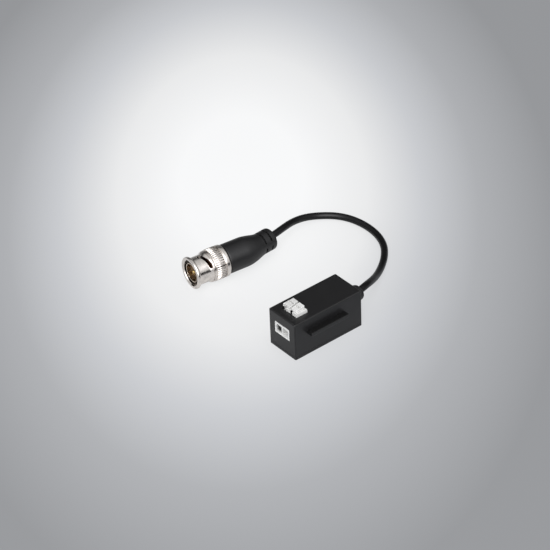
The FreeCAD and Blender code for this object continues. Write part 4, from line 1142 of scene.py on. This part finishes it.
def boot_ring(station):
    """The boot's centre line in the plug's frame: a point and its direction."""
    if station <= BOOT_BEND_START:
        return Vector((0, station, 0)), 0.0
    turned = min((station - BOOT_BEND_START) / BOOT_BEND_RADIUS, BOOT_BEND)
    point = Vector((-BOOT_BEND_RADIUS * (1 - math.cos(turned)),
                    BOOT_BEND_START + BOOT_BEND_RADIUS * math.sin(turned), 0))
    beyond = station - BOOT_BEND_START - BOOT_BEND_RADIUS * turned
    if beyond > 0:
        point += Vector((-math.sin(turned), math.cos(turned), 0)) * beyond
    return point, turned


class BALUN_OT_boot(bpy.types.Operator):
    """Make the plug's moulded boot"""
    bl_idname = "balun.boot"
    bl_label = "Boot"

    def execute(self, context):
        around = context.scene.balun_sizes.round_steps
        outline = [(15.02, 1.4, 0), (15.02, BOOT_RADIUS, 0.4), (24.3, BOOT_RADIUS, 1.2),
                   (27.0, 5.45, 1.0), (29.8, 4.7, 1.2), (BOOT_COLLAR, COLLAR_RADIUS, 0.5),
                   (BOOT_END, COLLAR_RADIUS, 0.9), (BOOT_END, 1.42, 0.1), (36.6, CORD_HOLE, 0)]
        profile = []
        corners = eased(outline, True, 6)
        for first, second in zip(corners, corners[1:] + corners[:1]):
            steps = max(1, int(abs(second[0] - first[0]) / 1.0))
            for i in range(steps):
                profile.append(first.lerp(second, i / steps))
        bm = bmesh.new()
        rings = []
        for station, radius in profile:
            centre, turned = boot_ring(station)
            side = Vector((math.cos(turned), math.sin(turned), 0))
            ring = []
            for i in range(around):
                angle = 2 * math.pi * i / around
                ring.append(bm.verts.new(centre + side * radius * math.cos(angle)
                                         + Vector((0, 0, 1)) * radius * math.sin(angle)))
            rings.append(ring)
        skinned(bm, rings, around)
        boot = new_object("moulded_boot", bm)
        combined(boot, self.slots(around))
        dressed(boot, finishes(context)["boot"], 0.0, 38.0)
        placed(boot, PLUG_FRAME)
        carried(boot, "balun", "boot", "plug_boot")
        return {"FINISHED"}

    def slots(self, around):
        """Slits above and below in the collar, with a web left standing on each side."""
        centre, turned = boot_ring(BOOT_COLLAR)
        collar = Matrix.Translation(centre) @ Matrix.Rotation(turned, 4, "Z")
        cutters = []
        for place in SLIT_PLACES:
            end = place + SLIT_WIDTH
            slit = lathe("Slit", eased([(place, SLIT_FLOOR, 0.1), (place, 6.0, 0),
                                        (end, 6.0, 0), (end, SLIT_FLOOR, 0.1)]), around)
            web = slab("Web", (-7, 7), (place - 1, place + 2), (-0.95, 0.95))
            placed(web, Matrix.Rotation(SLIT_TURN, 4, "Y"))
            combined(slit, [web])
            placed(slit, collar)
            cutters.append(slit)
        return cutters


class BALUN_OT_windings(bpy.types.Operator):
    """Make the transformer's two windings"""
    bl_idname = "balun.windings"
    bl_label = "Windings"

    def execute(self, context):
        sizes = context.scene.balun_sizes
        low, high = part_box("transformer_core")
        middle = (low + high) / 2
        tree = winding_tree()
        outer = (high.x - low.x) / 2 + 0.00026
        inner = 0.00184
        copper = finishes(context)["copper"]
        for name, node, start in (("line_winding", "winding_line_side", 30.0),
                                  ("coax_winding", "winding_coax_side", 210.0)):
            turns = grown(name, tree, {
                "Turns": sizes.turns, "Start": math.radians(start), "Sweep": math.radians(120),
                "Middle": (outer + inner) / 2, "Width": outer - inner,
                "Height": high.z - low.z + 0.00052, "Wire": 0.00022, "Material": copper})
            turns.data.transform(Matrix.Translation(middle))
            carried(turns, "balun", "copper", node)
        return {"FINISHED"}


class BALUN_OT_inner_parts(bpy.types.Operator):
    """Give the parts inside the box and the plug their finishes"""
    bl_idname = "balun.inner_parts"
    bl_label = "Inner parts"

    def execute(self, context):
        made = finishes(context)
        for entry in frame["record"]["subparts"]:
            node = NODES[entry["node"]]
            node.data.materials.clear()
            node.data.materials.append(made[entry["material_slot"]])
        return {"FINISHED"}


class BALUN_PT_pieces(bpy.types.Panel):
    """The balun's pieces"""
    bl_label = "Video Balun"
    bl_idname = "BALUN_PT_pieces"
    bl_space_type = "VIEW_3D"
    bl_region_type = "UI"
    bl_category = "Balun"

    def draw(self, context):
        layout = self.layout
        for step in STEPS:
            layout.operator(step.bl_idname)
        for group in (context.scene.balun_sizes, context.scene.balun_colours):
            column = layout.column()
            for name in group.__annotations__:
                column.prop(group, name)


STEPS = (
    BALUN_OT_stage,
    BALUN_OT_inner_parts,
    BALUN_OT_cord,
    BALUN_OT_housing,
    BALUN_OT_terminal,
    BALUN_OT_buttons,
    BALUN_OT_strain_relief,
    BALUN_OT_sleeve,
    BALUN_OT_contacts,
    BALUN_OT_boot,
    BALUN_OT_windings,
)
CLASSES = (BalunSizes, BalunColours, *STEPS, BALUN_PT_pieces)


def register():
    for item in CLASSES:
        bpy.utils.register_class(item)
    bpy.types.Scene.balun_sizes = PointerProperty(type=BalunSizes)
    bpy.types.Scene.balun_colours = PointerProperty(type=BalunColours)


def unregister():
    del bpy.types.Scene.balun_colours
    del bpy.types.Scene.balun_sizes
    for item in reversed(CLASSES):
        bpy.utils.unregister_class(item)


def main():
    register()
    for step in STEPS:
        group, name = step.bl_idname.split(".")
        getattr(getattr(bpy.ops, group), name)()
    bpy.context.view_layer.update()


if __name__ == "__main__":
    main()
